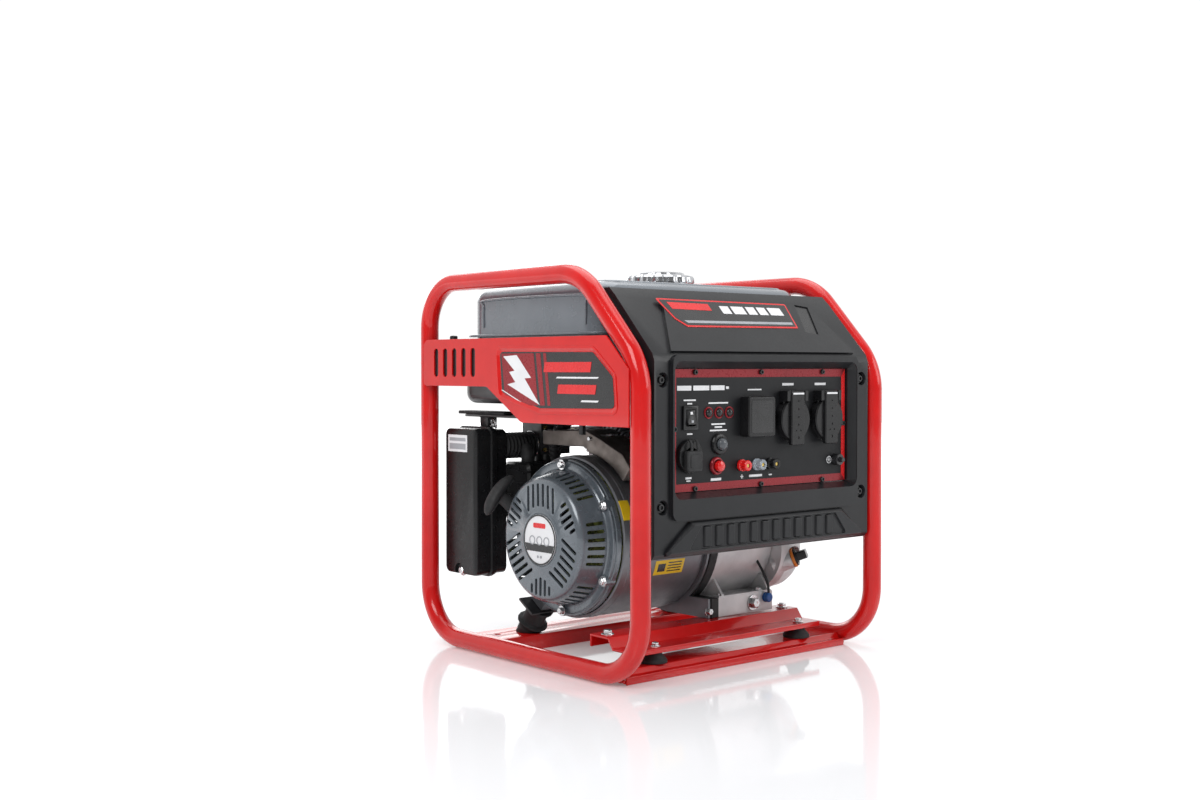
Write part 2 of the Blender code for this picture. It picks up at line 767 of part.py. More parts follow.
def build_buttons():
    """Two push buttons, each sliding in its bezel on the plate."""
    stem = [(BEHIND + 0.004, 0), (BEHIND + 0.004, 0.0046), (0.0042, 0.0046), (0.0042, 0.0066),
            (0.0080, 0.0062), (0.0100, 0.0040), (0.0105, 0)]
    for name, at, color in (("reset", RESET_AT, "clear_plastic"), ("breaker", BREAKER_AT, "red_plastic")):
        button = add(f"{name}_button", panel_turned(at, stem, 20), color)
        pivot(button, (at[0], PLATE_FRONT - 0.0042, at[1]))


def build_display():
    outline = rounded(rectangle(around(DISPLAY_AT[0], 0.0215), around(DISPLAY_AT[1], 0.0222)), 0.003, steps=2)
    block = prism(outline, "Y", PLATE_FRONT - GAP, PLATE_FRONT - 0.0135)
    add("display_box", block, "black_plastic", smooth=False)


def build_ac_sockets():
    """Two sockets, each under a sprung lid that hinges at the top."""
    for side, x in zip(("left", "right"), SOCKET_X):
        at = (x, SOCKET_Z)
        profile = [(BEHIND, 0), (BEHIND, 0.0210), (GAP, 0.0210), (GAP, 0.0250), (0.0070, 0.0240),
                   (0.0070, 0.0195), (-0.0080, 0.0195), (-0.0080, 0)]
        socket = add(f"ac_socket_{side}", panel_turned(at, profile, 24), "black_plastic")
        lug = [
            (PLATE_FRONT - GAP, SOCKET_Z + 0.0120),
            (PLATE_FRONT - GAP, LID_HINGE_Z + 0.0030),
            (PLATE_FRONT - 0.0125, LID_HINGE_Z + 0.0030),
            (PLATE_FRONT - 0.0125, SOCKET_Z + 0.0212),
            (PLATE_FRONT - 0.0065, SOCKET_Z + 0.0212),
            (PLATE_FRONT - 0.0065, SOCKET_Z + 0.0120),
        ]
        join(socket, *[prism(lug, "X", *around(x + offset, 0.0025)) for offset in (-0.0150, 0.0150)])

        lid = add(f"ac_lid_{side}", panel_rod(at, 0.0075, 0.0100, 0.0240, 24), "black_plastic")
        band = rectangle(around(x, 0.0108), (SOCKET_Z - 0.0290, LID_HINGE_Z + 0.0035))
        band_face = rounded(band, 0.003, steps=2)
        join(lid, prism(band_face, "Y", PLATE_FRONT - 0.0078, PLATE_FRONT - 0.0135))
        pivot(lid, (x, LID_HINGE_Y, LID_HINGE_Z))


def build_dc_socket():
    profile = [(BEHIND, 0), (BEHIND, 0.0140), (GAP, 0.0140), (GAP, 0.0185), (0.0050, 0.0175),
               (0.0050, 0.0095), (-0.0080, 0.0095), (-0.0080, 0)]
    add("dc_socket", panel_turned(DC_AT, profile, 20), "black_plastic")
    cap_at = (DC_AT[0], DC_AT[1] - 0.0050)
    outline = rounded(rectangle(around(cap_at[0], 0.0113), around(cap_at[1], 0.0113)), 0.003, steps=2)
    pad = prism(outline, "Y", PLATE_FRONT - 0.0053, PLATE_FRONT - 0.0110)
    cap = add("dc_socket_cap", pad, "rubber", False)
    straps = []
    for offset in (-0.0045, 0.0045):
        straps.append(box(around(cap_at[0] + offset, 0.0015), (PLATE_FRONT - 0.0088, PLATE_FRONT - 0.0055),
                          (cap_at[1] + 0.0100, DC_AT[1] + 0.0180)))
    join(cap, *straps)
    pivot(cap, (DC_AT[0], PLATE_FRONT - 0.0070, DC_AT[1] + 0.0170))


def build_posts():
    """Knobs of the three binding posts and the knurled nut of the ground stud."""
    for name, x in zip(("red", "clear", "black"), POST_X):
        profile = [(GAP, 0.0029), (GAP, 0.0066), (0.0040, 0.0066), (0.0045, 0.0056), (0.0120, 0.0062),
                   (0.0120, 0.0029)]
        knob = turned((x, PLATE_FRONT, POST_Z), (0, -1, 0), profile, 12, closed=True)
        pivot(add(f"{name}_post_knob", knob, f"{name}_plastic"), (x, PLATE_FRONT, POST_Z))

    nut = panel_ring(GROUND_AT, GAP, 0.0085, 0.0068, 0.0032, 12)
    pivot(add("ground_nut", nut, "steel"), (GROUND_AT[0], PLATE_FRONT, GROUND_AT[1]))


def build_inverter():
    """Finned inverter module behind the control plate."""
    front, back, root = -0.160, -0.128, -0.142
    half = 0.140
    fins = 11
    pitch = 2 * half / (2 * fins - 1)
    outline = [(half, front), (-half, front)]
    for step in range(fins):
        x = -half + 2 * step * pitch
        outline += [(x, back), (x + pitch, back)]
        if step < fins - 1:
            outline += [(x + pitch, root), (x + 2 * pitch, root)]
    add("inverter_module", prism(outline, "Z", 0.150, 0.330), "grey_cast", smooth=False)


# Engine and generator

def crank_rod(start, end, radius, segments=24):
    """A cylinder on the crank axis between two x positions."""
    return rod((0, CRANK_Y, CRANK_Z), (1, 0, 0), start, end, radius, segments)


def crank_ring(start, end, outer, inner, segments=24):
    return ring((0, CRANK_Y, CRANK_Z), (1, 0, 0), start, end, outer, inner, segments)


def case_outline(margin):
    """(y, z) outline of the crankcase: a round body on a foot that stands on the front engine rail."""
    radius = CRANKCASE_R + margin
    front = -0.1035 - margin
    bottom = ENGINE_RAIL_TOP + GAP
    drop = CRANK_Z - FOOT_TOP
    start = math.degrees(math.asin(drop / radius)) + 180
    outline = arc((CRANK_Y, CRANK_Z), radius, start, -65, 20)
    return outline + [Vector((-0.030, bottom)), Vector((front, bottom)), Vector((front, FOOT_TOP))]


def lean_direction():
    return Vector((0, math.cos(CYLINDER_LEAN), math.sin(CYLINDER_LEAN)))


def lean_block(half_x, half_across, start, end, shift=0.0):
    """A block on the cylinder's axis between two distances from the crank axis."""
    size = Matrix.Diagonal((2 * half_x, 2 * half_across, end - start, 1.0))
    middle = Matrix.Translation((0, shift, (start + end) / 2))
    lean = Matrix.Rotation(CYLINDER_LEAN - math.pi / 2, 4, "X")
    origin = Matrix.Translation((CYLINDER_X, CRANK_Y, CRANK_Z))
    bm = bmesh.new()
    bmesh.ops.create_cube(bm, size=1.0, matrix=origin @ lean @ middle @ size)
    return bm


def lean_rod(start, end, radius, segments=24):
    return rod((CYLINDER_X, CRANK_Y, CRANK_Z), lean_direction(), start, end, radius, segments)


def build_crankcase():
    outline = case_outline(0)
    case = add("crankcase", prism(outline, "X", GASKET_END_X + GAP, CRANKCASE_END_X), "silver_cast")
    pad = tilted_outline(REAR_MOUNT_LENGTH + 0.003 + 2 * GAP, 0.076, 0.012)
    join(case, prism(pad, "X", 0.030, 0.100))
    join(case, lean_block(0.036, 0.034, 0.070, CYLINDER_BASE - GAP))
    cut(case, crank_rod(GASKET_END_X - 0.005, 0.0950, 0.056))
    cut(case, lean_rod(0.040, CYLINDER_BASE + 0.010, BORE_R + 0.002))

    filler = Vector((0.1095, -0.0861, 0.0916))
    spout = Vector((0.55, -0.75, 0.35)).normalized()
    cover = add("crankcase_cover", crank_rod(CRANKCASE_END_X + GAP, COVER_END_X, 0.066, 28), "grey_cast")
    boss = rod((0, -0.063, 0.118), (1, 0, 0), CRANKCASE_END_X + 0.0006, BOSS_END_X, 0.055, 28)
    join(cover, boss, rod(filler, spout, 0.015, 0.040, 0.0120, 16))
    bore = [(0.016, 0), (0.016, 0.0068), (0.0401, 0.0068), (0.0401, 0.0126), (0.070, 0.0126), (0.070, 0)]
    cut(cover, turned(filler, spout, bore, 20))

    mouth = filler + spout * (0.040 + GAP)
    profile = [(-0.022, 0), (-0.022, 0.0055), (0, 0.0055), (0, 0.0115), (0.005, 0.0115), (0.005, 0.0080),
               (0.018, 0.0080), (0.018, 0)]
    dipstick = add("oil_dipstick", turned(mouth, spout, profile, 16), "black_plastic")
    pivot(dipstick, mouth)

    gasket = add("case_gasket", prism(case_outline(0.002), "X", DRUM_END_X + GAP, GASKET_END_X), "rubber")
    cut(gasket, crank_rod(0.0, 0.030, 0.050))


def build_cylinder():
    block = add("cylinder", lean_rod(CYLINDER_BASE, CYLINDER_TOP - GAP, 0.034, 16), "grey_cast")
    fins = [lean_block(0.038, 0.036, start, start + 0.003) for start in (0.110, 0.120, 0.130, 0.140)]
    join(block, lean_block(0.037, 0.0355, CYLINDER_BASE, CYLINDER_BASE + 0.004), *fins)
    cut(block, lean_rod(CYLINDER_BASE - 0.01, CYLINDER_TOP + 0.01, BORE_R, 20))

    block = lean_block(0.036, 0.034, CYLINDER_TOP, HEAD_TOP)
    head = add("cylinder_head", block, "silver_cast", smooth=False)
    port = rod((0, INTAKE_Y, INTAKE_Z), (1, 0, 0), -0.0347, CYLINDER_X - 0.030, 0.013, 16)
    join(head, port, lean_block(0.030, 0.022, HEAD_TOP - 0.001, HEAD_TOP + 0.014, -0.008))

    across = Vector((0, math.sin(CYLINDER_LEAN), -math.cos(CYLINDER_LEAN)))
    plug_at = Vector((CYLINDER_X, CRANK_Y, CRANK_Z)) + lean_direction() * (HEAD_TOP + GAP) + across * 0.024
    plug = turned(plug_at, lean_direction(), [(0, 0), (0, 0.0075), (0.006, 0.0075), (0.008, 0.0085),
                                              (0.020, 0.0085), (0.022, 0)], 12)
    add("spark_plug_cap", plug, "rubber")

    profile = [(0.118, 0), (0.118, 0.0200), (0.108, 0.0200),
               (0.108, BORE_R - GAP), (0.140, BORE_R - GAP), (0.140, 0)]
    add("piston", turned((CYLINDER_X, CRANK_Y, CRANK_Z), lean_direction(), profile, 20), "steel")


def build_generator():
    """Drum housing with the stator fixed inside it and the flywheel rotor turning round the stator."""
    shell = [
        (DRUM_START_X, DRUM_R),
        (DRUM_END_X - 0.010, DRUM_R),
        (DRUM_END_X, DRUM_R - 0.006),
        (DRUM_END_X, 0.016),
        (-0.0290, 0.016),
        (-0.0290, 0.030),
        (DRUM_END_X - 0.004, 0.030),
        (DRUM_END_X - 0.004, DRUM_R - 0.010),
        (-0.0100, DRUM_R - DRUM_WALL),
        (DRUM_START_X, DRUM_R - DRUM_WALL),
    ]
    drum = turned((0, CRANK_Y, CRANK_Z), (1, 0, 0), shell, 36, closed=True)
    housing = add("drum_housing", drum, "grey_cast")
    pad = tilted_outline(REAR_MOUNT_LENGTH + 0.003 + 2 * GAP, 0.0600, 0.012)
    join(housing, prism(pad, "X", -0.1265, -0.098))
    join(housing, prism(case_outline(-0.0004), "X", 0.0009, DRUM_END_X - 0.0006))
    cut(housing, crank_rod(0.0006, 0.0200, 0.0170))

    teeth = 12
    outline = []
    for step in range(teeth):
        middle = 360 * step / teeth
        tip = arc((CRANK_Y, CRANK_Z), 0.062, middle - 11, middle + 11, 2)
        root = arc((CRANK_Y, CRANK_Z), 0.040, middle + 15, middle + 15, 1)[:1]
        outline += tip + root
    stator = add("stator", prism(outline, "X", -0.0750, -0.0290 - GAP), "copper", smooth=False)
    cut(stator, crank_rod(-0.090, -0.010, 0.022))

    rotor_profile = [
        (-0.0950, 0.0140),
        (-0.0950, 0.0820),
        (-0.0300, 0.0820),
        (-0.0300, 0.0660),
        (-0.0860, 0.0660),
        (-0.0860, 0.0140),
    ]
    rotor = turned((0, CRANK_Y, CRANK_Z), (1, 0, 0), rotor_profile, 32, closed=True)
    flywheel = add("flywheel_rotor", rotor, "steel")

    disc = crank_ring(-0.1000, -0.0950 - GAP, 0.0760, 0.0150, 32)
    fan = add("cooling_fan", disc, "fan_plastic", smooth=False)
    blades = []
    for step in range(10):
        angle = 2 * math.pi * step / 10
        turn = Matrix.Rotation(angle, 4, "X") @ Matrix.Rotation(math.radians(25), 4, "X")
        blade = box((-0.1215, -0.0990), (-0.0020, 0.0020), (0.0250, 0.0700))
        blade.transform(Matrix.Translation((0, CRANK_Y, CRANK_Z)) @ turn)
        blades.append(blade)
    join(fan, *blades)

    shaft = add("crankshaft", crank_rod(-0.1470, 0.0400, 0.0125, 20), "steel")
    throw = Vector((0, CRANK_Y, CRANK_Z)) + lean_direction() * 0.022
    flange = crank_rod(-0.1220, -0.1030, 0.0180, 20)
    webs = [crank_rod(start, start + 0.012, 0.042) for start in (0.034, 0.078)]
    pin = rod(throw, (1, 0, 0), 0.041, 0.083, 0.0110, 16)
    join(shaft, flange, webs[0], pin, webs[1], crank_rod(0.084, 0.0940, 0.0125, 20))
    hang_on_axis("crank_axis", (0, CRANK_Y, CRANK_Z), (shaft, flywheel, fan))


def about_crank(angle):
    """Turns a piece modelled straight above the crank line; angles run from the top towards the front."""
    place = Matrix.Translation((0, CRANK_Y, CRANK_Z))
    return place @ Matrix.Rotation(math.radians(angle), 4, "X")


def face_slots(angle, count, pitch, inner_end):
    """Parallel slots through the recoil face, pointing along one spoke, out to a common circle."""
    slots = []
    for step in range(count):
        shift = (step - (count - 1) / 2) * pitch
        outer_end = math.sqrt(SLOT_CIRCLE_R**2 - shift**2)
        slot = box((-0.185, -0.160), around(shift, SLOT_HALF), (inner_end(shift), outer_end))
        slot.transform(about_crank(angle))
        slots.append(slot)
    return slots


def side_vents(angle, count, pitch):
    """Slots through the sloping wall of the recoil cover, spread about one spoke."""
    vents = []
    for step in range(count):
        vent = box((-0.1630, -0.1415), around(0, SLOT_HALF), (0.0665, 0.0900))
        vent.transform(about_crank(angle + (step - (count - 1) / 2) * pitch))
        vents.append(vent)
    return vents


def long_slot_start(shift):
    return math.sqrt(0.038**2 - shift**2)


def short_slot_start(shift):
    return 0.043 + 33 * shift**2


def build_recoil():
    profile = [
        (RECOIL_FACE_X, 0),
        (RECOIL_FACE_X, 0.0660),
        (-0.1695, 0.0710),
        (-0.1360, 0.0800),
        (-0.1345, 0.0905),
        (DRUM_START_X - GAP, 0.0905),
        (DRUM_START_X - GAP, 0.0790),
        (-0.1360, 0.0775),
        (-0.1675, 0.0685),
        (-0.1705, 0.0650),
        (-0.1705, 0.0090),
        (-0.1500, 0.0090),
        (-0.1500, 0),
    ]
    cover = add("recoil_cover", turned((0, CRANK_Y, CRANK_Z), (1, 0, 0), profile, 32), "blue_grey_paint")
    join(cover, crank_rod(-0.1745, -0.1715, 0.0290, 24))
    spout_profile = [(-0.0060, 0), (-0.0060, 0.0100), (GUIDE_REACH, 0.0080), (GUIDE_REACH, 0)]
    spout = turned(GUIDE, PULL, spout_profile, 12)
    join(cover, spout)
    slots = []
    for spoke in (0, 120, 240):
        slots += face_slots(spoke, 6, 0.0090, long_slot_start)
        slots += face_slots(spoke + 60, 5, 0.0080, short_slot_start)
    for step in range(6):
        slots += side_vents(30 + 60 * step, 6, 7)
    cut(cover, *slots)

    sheave = [
        (-0.1670, 0.0095),
        (-0.1670, 0.0420),
        (-0.1645, 0.0420),
        (-0.1630, 0.0360),
        (-0.1570, 0.0360),
        (-0.1555, 0.0420),
        (-0.1530, 0.0420),
        (-0.1530, 0.0095),
    ]
    pulley = turned((0, CRANK_Y, CRANK_Z), (1, 0, 0), sheave, 24, closed=True)
    pivot(add("recoil_pulley", pulley, "black_plastic"), (0, CRANK_Y, CRANK_Z))

    neck_start = GUIDE_REACH + GAP
    neck_end = (-0.1768 - GUIDE.x) / PULL.x
    grip_at = GUIDE + PULL * neck_end
    neck_profile = [(neck_start, 0), (neck_start, 0.0060), (neck_end, 0.0068), (neck_end, 0)]
    neck = turned(GUIDE, PULL, neck_profile, 12)
    handle = add("recoil_handle", neck, "black_plastic")
    grip = turned(grip_at, GRIP_ALONG, [(-GRIP_REACH, 0), (-GRIP_REACH, 0.0050), (-0.022, 0.0078),
                                        (0.022, 0.0078), (GRIP_REACH, 0.0050), (GRIP_REACH, 0)], 12)
    join(handle, grip)
    pivot(handle, GUIDE)


# Intake, filter and exhaust

def open_box(x_range, y_range, z_range, wall, open_side):
    """Outer and inner solids of a box with one open side along X."""
    inner_x = [x_range[0] + wall, x_range[1] - wall]
    inner_x[0 if open_side < 0 else 1] += open_side * (wall + 0.005)
    inner_y = (y_range[0] + wall, y_range[1] - wall)
    inner_z = (z_range[0] + wall, z_range[1] - wall)
    outer = prism(rounded(rectangle(y_range, z_range), 0.010, steps=3), "X", *x_range)
    inner = prism(rounded(rectangle(inner_y, inner_z), 0.008, steps=3), "X", *inner_x)
    return outer, inner


def build_air_filter():
    inset = 0.002
    base_y = (FILTER_Y[0] + inset, FILTER_Y[1] - inset)
    base_z = (FILTER_Z[0] + inset, FILTER_Z[1] - inset)
    outer, inner = open_box((FILTER_SEAM_X + GAP, FILTER_BASE_X), base_y, base_z, FILTER_WALL, -1)
    base = add("air_filter_base", outer, "black_plastic", smooth=False)
    cut(base, inner)
    port = rod((FILTER_BASE_X, INTAKE_Y, INTAKE_Z - 0.012), (1, 0, 0), -0.010, 0.010, 0.011, 16)
    cut(base, port)

    outer, inner = open_box((FILTER_COVER_X, FILTER_SEAM_X), FILTER_Y, FILTER_Z, FILTER_WALL, 1)
    cover = add("air_filter_cover", outer, "black_plastic", smooth=False)
    cut(cover, inner)
    cut(cover, rod((0, 0.150, 0.0905), (1, 0, 0), -0.180, -0.1700, 0.0085, 12))
    pivot(cover, (FILTER_SEAM_X, (FILTER_Y[0] + FILTER_Y[1]) / 2, FILTER_Z[1]))

    element = box((-0.168, FILTER_BASE_X - 0.004), (0.1175, 0.1757), (0.0980, 0.2520))
    add("air_filter_element", element, "foam", smooth=False)

    bar_z = (0.2775, 0.2805)
    bar = box((-0.148, -0.128), (-0.012, 0.176), bar_z)
    bracket = add("filter_bracket", bar, "black_plastic", smooth=False)
    join(bracket, box((-0.145, -0.131), (0.132, 0.148), (base_z[1] + GAP, 0.2780)))


def build_intake():
    direction = (1, 0, 0)
    low = INTAKE_Z - 0.012
    ribs = [(FILTER_BASE_X + GAP, 0)]
    start = FILTER_BASE_X + GAP
    pitch = 0.0073
    for step in range(6):
        ribs += [(start + pitch * step, 0.0165), (start + pitch * step + 0.0036, 0.0165),
                 (start + pitch * step + 0.0038, 0.0140), (start + pitch * (step + 1) - 0.0002, 0.0140)]
    end = start + pitch * 6
    ribs += [(end, 0.0165), (end + 0.003, 0.0165), (end + 0.003, 0)]
    add("intake_boot", turned((0, INTAKE_Y, low + 0.004), direction, ribs, 10), "rubber")

    carb_start = end + 0.003 + GAP
    body = box((carb_start, -0.0350), around(INTAKE_Y, 0.019), around(INTAKE_Z, 0.020))
    carburetor = add("carburetor", body, "black_plastic", smooth=False)
    join(carburetor, rod((-0.058, INTAKE_Y, 0), (0, 0, 1), INTAKE_Z - 0.052, INTAKE_Z - 0.016, 0.0175, 16))

    pin = Vector((-0.058, INTAKE_Y - 0.019 - GAP, INTAKE_Z - 0.004))
    lever = add("choke_lever", rod(pin, (0, -1, 0), 0, 0.004, 0.0055, 12), "black_plastic")
    join(lever, box(around(pin.x, 0.003), (pin.y - 0.0035, pin.y - 0.0005), (pin.z - 0.026, pin.z)))
    pivot(lever, pin)


def build_exhaust():
    box_part = prism(rounded(rectangle((0.070, 0.176), (0.172, 0.288)), 0.018, steps=3), "X", 0.114, 0.172)
    muffler = add("muffler", box_part, "heat_steel")
    inlet = rod((0, INTAKE_Y, INTAKE_Z), (1, 0, 0), CYLINDER_X + 0.036 + GAP, 0.116, 0.012, 16)
    join(muffler, inlet)
    outlet = rod((0.150, 0.170, 0.195), (0, 1, 0), 0, 0.014, 0.008, 12)
    join(muffler, outlet)

    centre = (CRANK_Y, CRANK_Z)
    lower = arc(centre, DRUM_R + 0.0035, 136, 97, 6)
    upper = [(0.0685, 0.2455), (0.0685, 0.2625), (-0.012, 0.2655),
             (-0.038, 0.2560), (-0.078, 0.2395), (-0.090, 0.2245)]
    outline = [Vector(point) for point in lower + [(-0.010, 0.2455)] + upper]
    shroud = add("engine_shroud", prism(outline, "X", -0.110, -0.066), "heat_steel", smooth=False)
    cut(shroud, box((-0.100, -0.060), (-0.030, 0.060), (0.2475, 0.2600)))


def main():
    clear_scene()
    build_frame()
    build_engine_rails()
    build_mounts()
    build_side_panels()
    build_tank()
    build_fuel_cock()
    build_fascia()
    build_control_plate()
    build_switch()
    build_buttons()
    build_display()
    build_ac_sockets()
    build_dc_socket()
    build_posts()
    build_inverter()
    build_crankcase()
    build_cylinder()
    build_generator()
    build_recoil()
    build_air_filter()
    build_intake()
    build_exhaust()


main()
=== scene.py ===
import json
import math

import bmesh
import bpy
from mathutils import Matrix, Vector


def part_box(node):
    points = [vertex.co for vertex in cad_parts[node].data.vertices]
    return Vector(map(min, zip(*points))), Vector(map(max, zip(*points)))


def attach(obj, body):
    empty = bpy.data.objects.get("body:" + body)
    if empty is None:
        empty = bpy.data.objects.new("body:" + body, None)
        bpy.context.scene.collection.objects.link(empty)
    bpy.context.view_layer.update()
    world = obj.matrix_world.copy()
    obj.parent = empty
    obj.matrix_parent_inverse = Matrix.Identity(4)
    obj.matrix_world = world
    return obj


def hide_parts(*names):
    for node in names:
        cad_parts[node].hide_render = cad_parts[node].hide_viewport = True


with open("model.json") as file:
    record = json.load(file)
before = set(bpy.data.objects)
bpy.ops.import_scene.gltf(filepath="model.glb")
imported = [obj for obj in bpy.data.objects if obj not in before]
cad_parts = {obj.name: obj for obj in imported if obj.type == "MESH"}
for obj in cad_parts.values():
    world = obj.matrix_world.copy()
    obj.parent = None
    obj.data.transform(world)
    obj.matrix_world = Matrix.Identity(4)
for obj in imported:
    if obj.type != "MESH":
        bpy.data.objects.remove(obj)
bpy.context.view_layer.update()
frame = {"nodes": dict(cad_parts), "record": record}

RECORD = frame["record"]
BODY_OF = {node: body for body, nodes in RECORD["behaviour"]["bodies"].items() for node in nodes}
SLOT_OF = {row["node"]: row["material_slot"] for row in RECORD["subparts"]}

# Places taken from the solid model, in metres
TUBE_R = 0.011
LOOP_X = 0.188
PANEL_OUT = 0.2013
PANEL_IN = 0.1993
TANK_TOP = 0.434
TANK_HALF = 0.165
TANK_Y = (-0.104, 0.146)
SEAM_Z = (0.3745, 0.3775)
CAP_AT = Vector((0.03, 0.012, 0.0))
CRANK = Vector((0.0, -0.007, 0.1415))
CYLINDER_X = 0.064
CYLINDER_LEAN = math.radians(40)
FACE_X = -0.173
PLATE_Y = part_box("control_plate")[1].y - 0.002
PLATE_X = (-0.141, 0.142)
PLATE_Z = (0.2045, 0.337)
SLOPE_FOOT = Vector((0, -0.1965, 0.352))
SLOPE_UP = Vector((0, 0.0605, 0.0645)).normalized()
SLOPE_OUT = Vector((0, -SLOPE_UP.z, SLOPE_UP.y))


# Materials

def socket(shader, name, value):
    shader.inputs[name].default_value = value


def noise_node(tree, coordinates, scale, detail=3.0):
    node = tree.nodes.new("ShaderNodeTexNoise")
    node.inputs["Scale"].default_value = scale
    node.inputs["Detail"].default_value = detail
    tree.links.new(coordinates, node.inputs["Vector"])
    return node.outputs["Fac"]


def spread(tree, value, low, high):
    node = tree.nodes.new("ShaderNodeMapRange")
    node.inputs["From Min"].default_value = 0.3
    node.inputs["From Max"].default_value = 0.7
    node.inputs["To Min"].default_value = low
    node.inputs["To Max"].default_value = high
    tree.links.new(value, node.inputs["Value"])
    return node.outputs["Result"]


def mixed(tree, factor, first, second):
    node = tree.nodes.new("ShaderNodeMix")
    node.data_type = "RGBA"
    node.inputs["A"].default_value = (*first, 1)
    node.inputs["B"].default_value = (*second, 1)
    tree.links.new(factor, node.inputs["Factor"])
    return node.outputs["Result"]


def surface(name, low, high, rough, metallic=0.0, grain=900.0, bump=0.15, patch=35.0, stretch=(1, 1, 1),
            **sockets):
    """A surface whose colour drifts in patches and whose roughness and relief follow a fine grain."""
    made = bpy.data.materials.new(name)
    made.use_nodes = True
    tree = made.node_tree
    shader = tree.nodes["Principled BSDF"]
    place = tree.nodes.new("ShaderNodeTexCoord").outputs["Object"]
    mapping = tree.nodes.new("ShaderNodeMapping")
    mapping.inputs["Scale"].default_value = stretch
    tree.links.new(place, mapping.inputs["Vector"])
    stretched = mapping.outputs["Vector"]
    drift = spread(tree, noise_node(tree, place, patch), 0, 1)
    tree.links.new(mixed(tree, drift, low, high), shader.inputs["Base Color"])
    fine = noise_node(tree, stretched, grain, 4.0)
    wide = noise_node(tree, stretched, grain * 0.12, 3.0)
    tree.links.new(spread(tree, wide, rough[0], rough[1]), shader.inputs["Roughness"])
    relief = tree.nodes.new("ShaderNodeBump")
    relief.inputs["Strength"].default_value = bump
    relief.inputs["Distance"].default_value = 0.0006
    tree.links.new(fine, relief.inputs["Height"])
    tree.links.new(relief.outputs["Normal"], shader.inputs["Normal"])
    socket(shader, "Metallic", metallic)
    for key, value in sockets.items():
        socket(shader, key.replace("_", " "), value)
    return made


MATERIALS = {}


def define(name, *values, **sockets):
    MATERIALS[name] = surface(name, *values, **sockets)


define("red_paint", (0.56, 0.006, 0.006), (0.63, 0.0085, 0.0075), (0.16, 0.22), grain=420, bump=0.008,
       Specular_IOR_Level=0.26, Coat_Weight=0.4, Coat_Roughness=0.04)
define("tank_paint", (0.165, 0.185, 0.208), (0.19, 0.21, 0.234), (0.22, 0.3), 0.25, grain=520, bump=0.012,
       Coat_Weight=0.5, Coat_Roughness=0.08)
define("smoked_plastic", (0.1, 0.11, 0.12), (0.14, 0.15, 0.165), (0.08, 0.16), grain=600, bump=0.03,
       Transmission_Weight=0.35, IOR=1.46)
define("black_steel", (0.01, 0.01, 0.011), (0.018, 0.018, 0.02), (0.3, 0.48), grain=700, bump=0.1,
       Coat_Weight=0.2)
define("rubber", (0.011, 0.011, 0.012), (0.021, 0.021, 0.022), (0.55, 0.75), grain=1100, bump=0.22)
define("blue_grey_paint", (0.112, 0.132, 0.152), (0.136, 0.156, 0.176), (0.22, 0.32), 0.3, grain=520,
       bump=0.02, Coat_Weight=0.6, Coat_Roughness=0.07)
define("chrome", (0.46, 0.47, 0.49), (0.56, 0.57, 0.59), (0.1, 0.2), 1.0, grain=300, bump=0.02)
define("grey_cast", (0.155, 0.158, 0.172), (0.205, 0.208, 0.222), (0.3, 0.44), 0.55, grain=1300, bump=0.14)
define("silver_cast", (0.5, 0.495, 0.5), (0.62, 0.61, 0.61), (0.36, 0.52), 0.55, grain=1000, bump=0.34)
define("charcoal_plastic", (0.0095, 0.01, 0.0115), (0.0135, 0.0142, 0.016), (0.3, 0.38), grain=2200,
       bump=0.06, Specular_IOR_Level=0.34)
define("plate_print", (0.01, 0.0104, 0.0116), (0.013, 0.0134, 0.0148), (0.36, 0.46), grain=2600, bump=0.03,
       Specular_IOR_Level=0.22)
define("black_plastic", (0.0055, 0.0055, 0.0062), (0.01, 0.01, 0.0108), (0.26, 0.36), grain=1700, bump=0.06,
       Specular_IOR_Level=0.38)
define("red_plastic", (0.62, 0.008, 0.008), (0.74, 0.012, 0.012), (0.14, 0.26), grain=700, bump=0.05,
       Coat_Weight=0.5)
define("clear_plastic", (0.46, 0.52, 0.58), (0.58, 0.64, 0.7), (0.06, 0.16), grain=600, bump=0.04,
       Transmission_Weight=0.55, IOR=1.46)
define("steel", (0.5, 0.5, 0.51), (0.66, 0.66, 0.67), (0.2, 0.36), 1.0, grain=900, bump=0.08,
       stretch=(1, 1, 6))
define("copper", (0.42, 0.17, 0.07), (0.6, 0.27, 0.12), (0.28, 0.44), 0.9, grain=1500, bump=0.35,
       stretch=(6, 1, 1))
define("fan_plastic", (0.36, 0.4, 0.11), (0.47, 0.5, 0.18), (0.36, 0.52), grain=900, bump=0.15)
define("heat_steel", (0.17, 0.145, 0.13), (0.27, 0.235, 0.215), (0.36, 0.55), 0.8, grain=800, bump=0.2,
       patch=60)
define("foam", (0.035, 0.035, 0.036), (0.06, 0.06, 0.06), (0.85, 0.95), grain=1500, bump=0.9)
define("white_print", (0.74, 0.74, 0.75), (0.82, 0.82, 0.83), (0.32, 0.45), grain=1500, bump=0.03)
define("grey_print", (0.3, 0.31, 0.33), (0.38, 0.39, 0.41), (0.32, 0.45), grain=1500, bump=0.03)
define("black_print", (0.012, 0.012, 0.013), (0.02, 0.02, 0.021), (0.2, 0.32), grain=1500, bump=0.03)
define("dark_red_print", (0.22, 0.01, 0.016), (0.3, 0.014, 0.021), (0.24, 0.34), 0.35, grain=1900, bump=0.03,
       patch=9)
define("bright_red_print", (0.62, 0.012, 0.014), (0.72, 0.016, 0.018), (0.22, 0.34), grain=1500, bump=0.03)
define("yellow_print", (0.8, 0.5, 0.01), (0.88, 0.58, 0.016), (0.3, 0.42), grain=1500, bump=0.03)
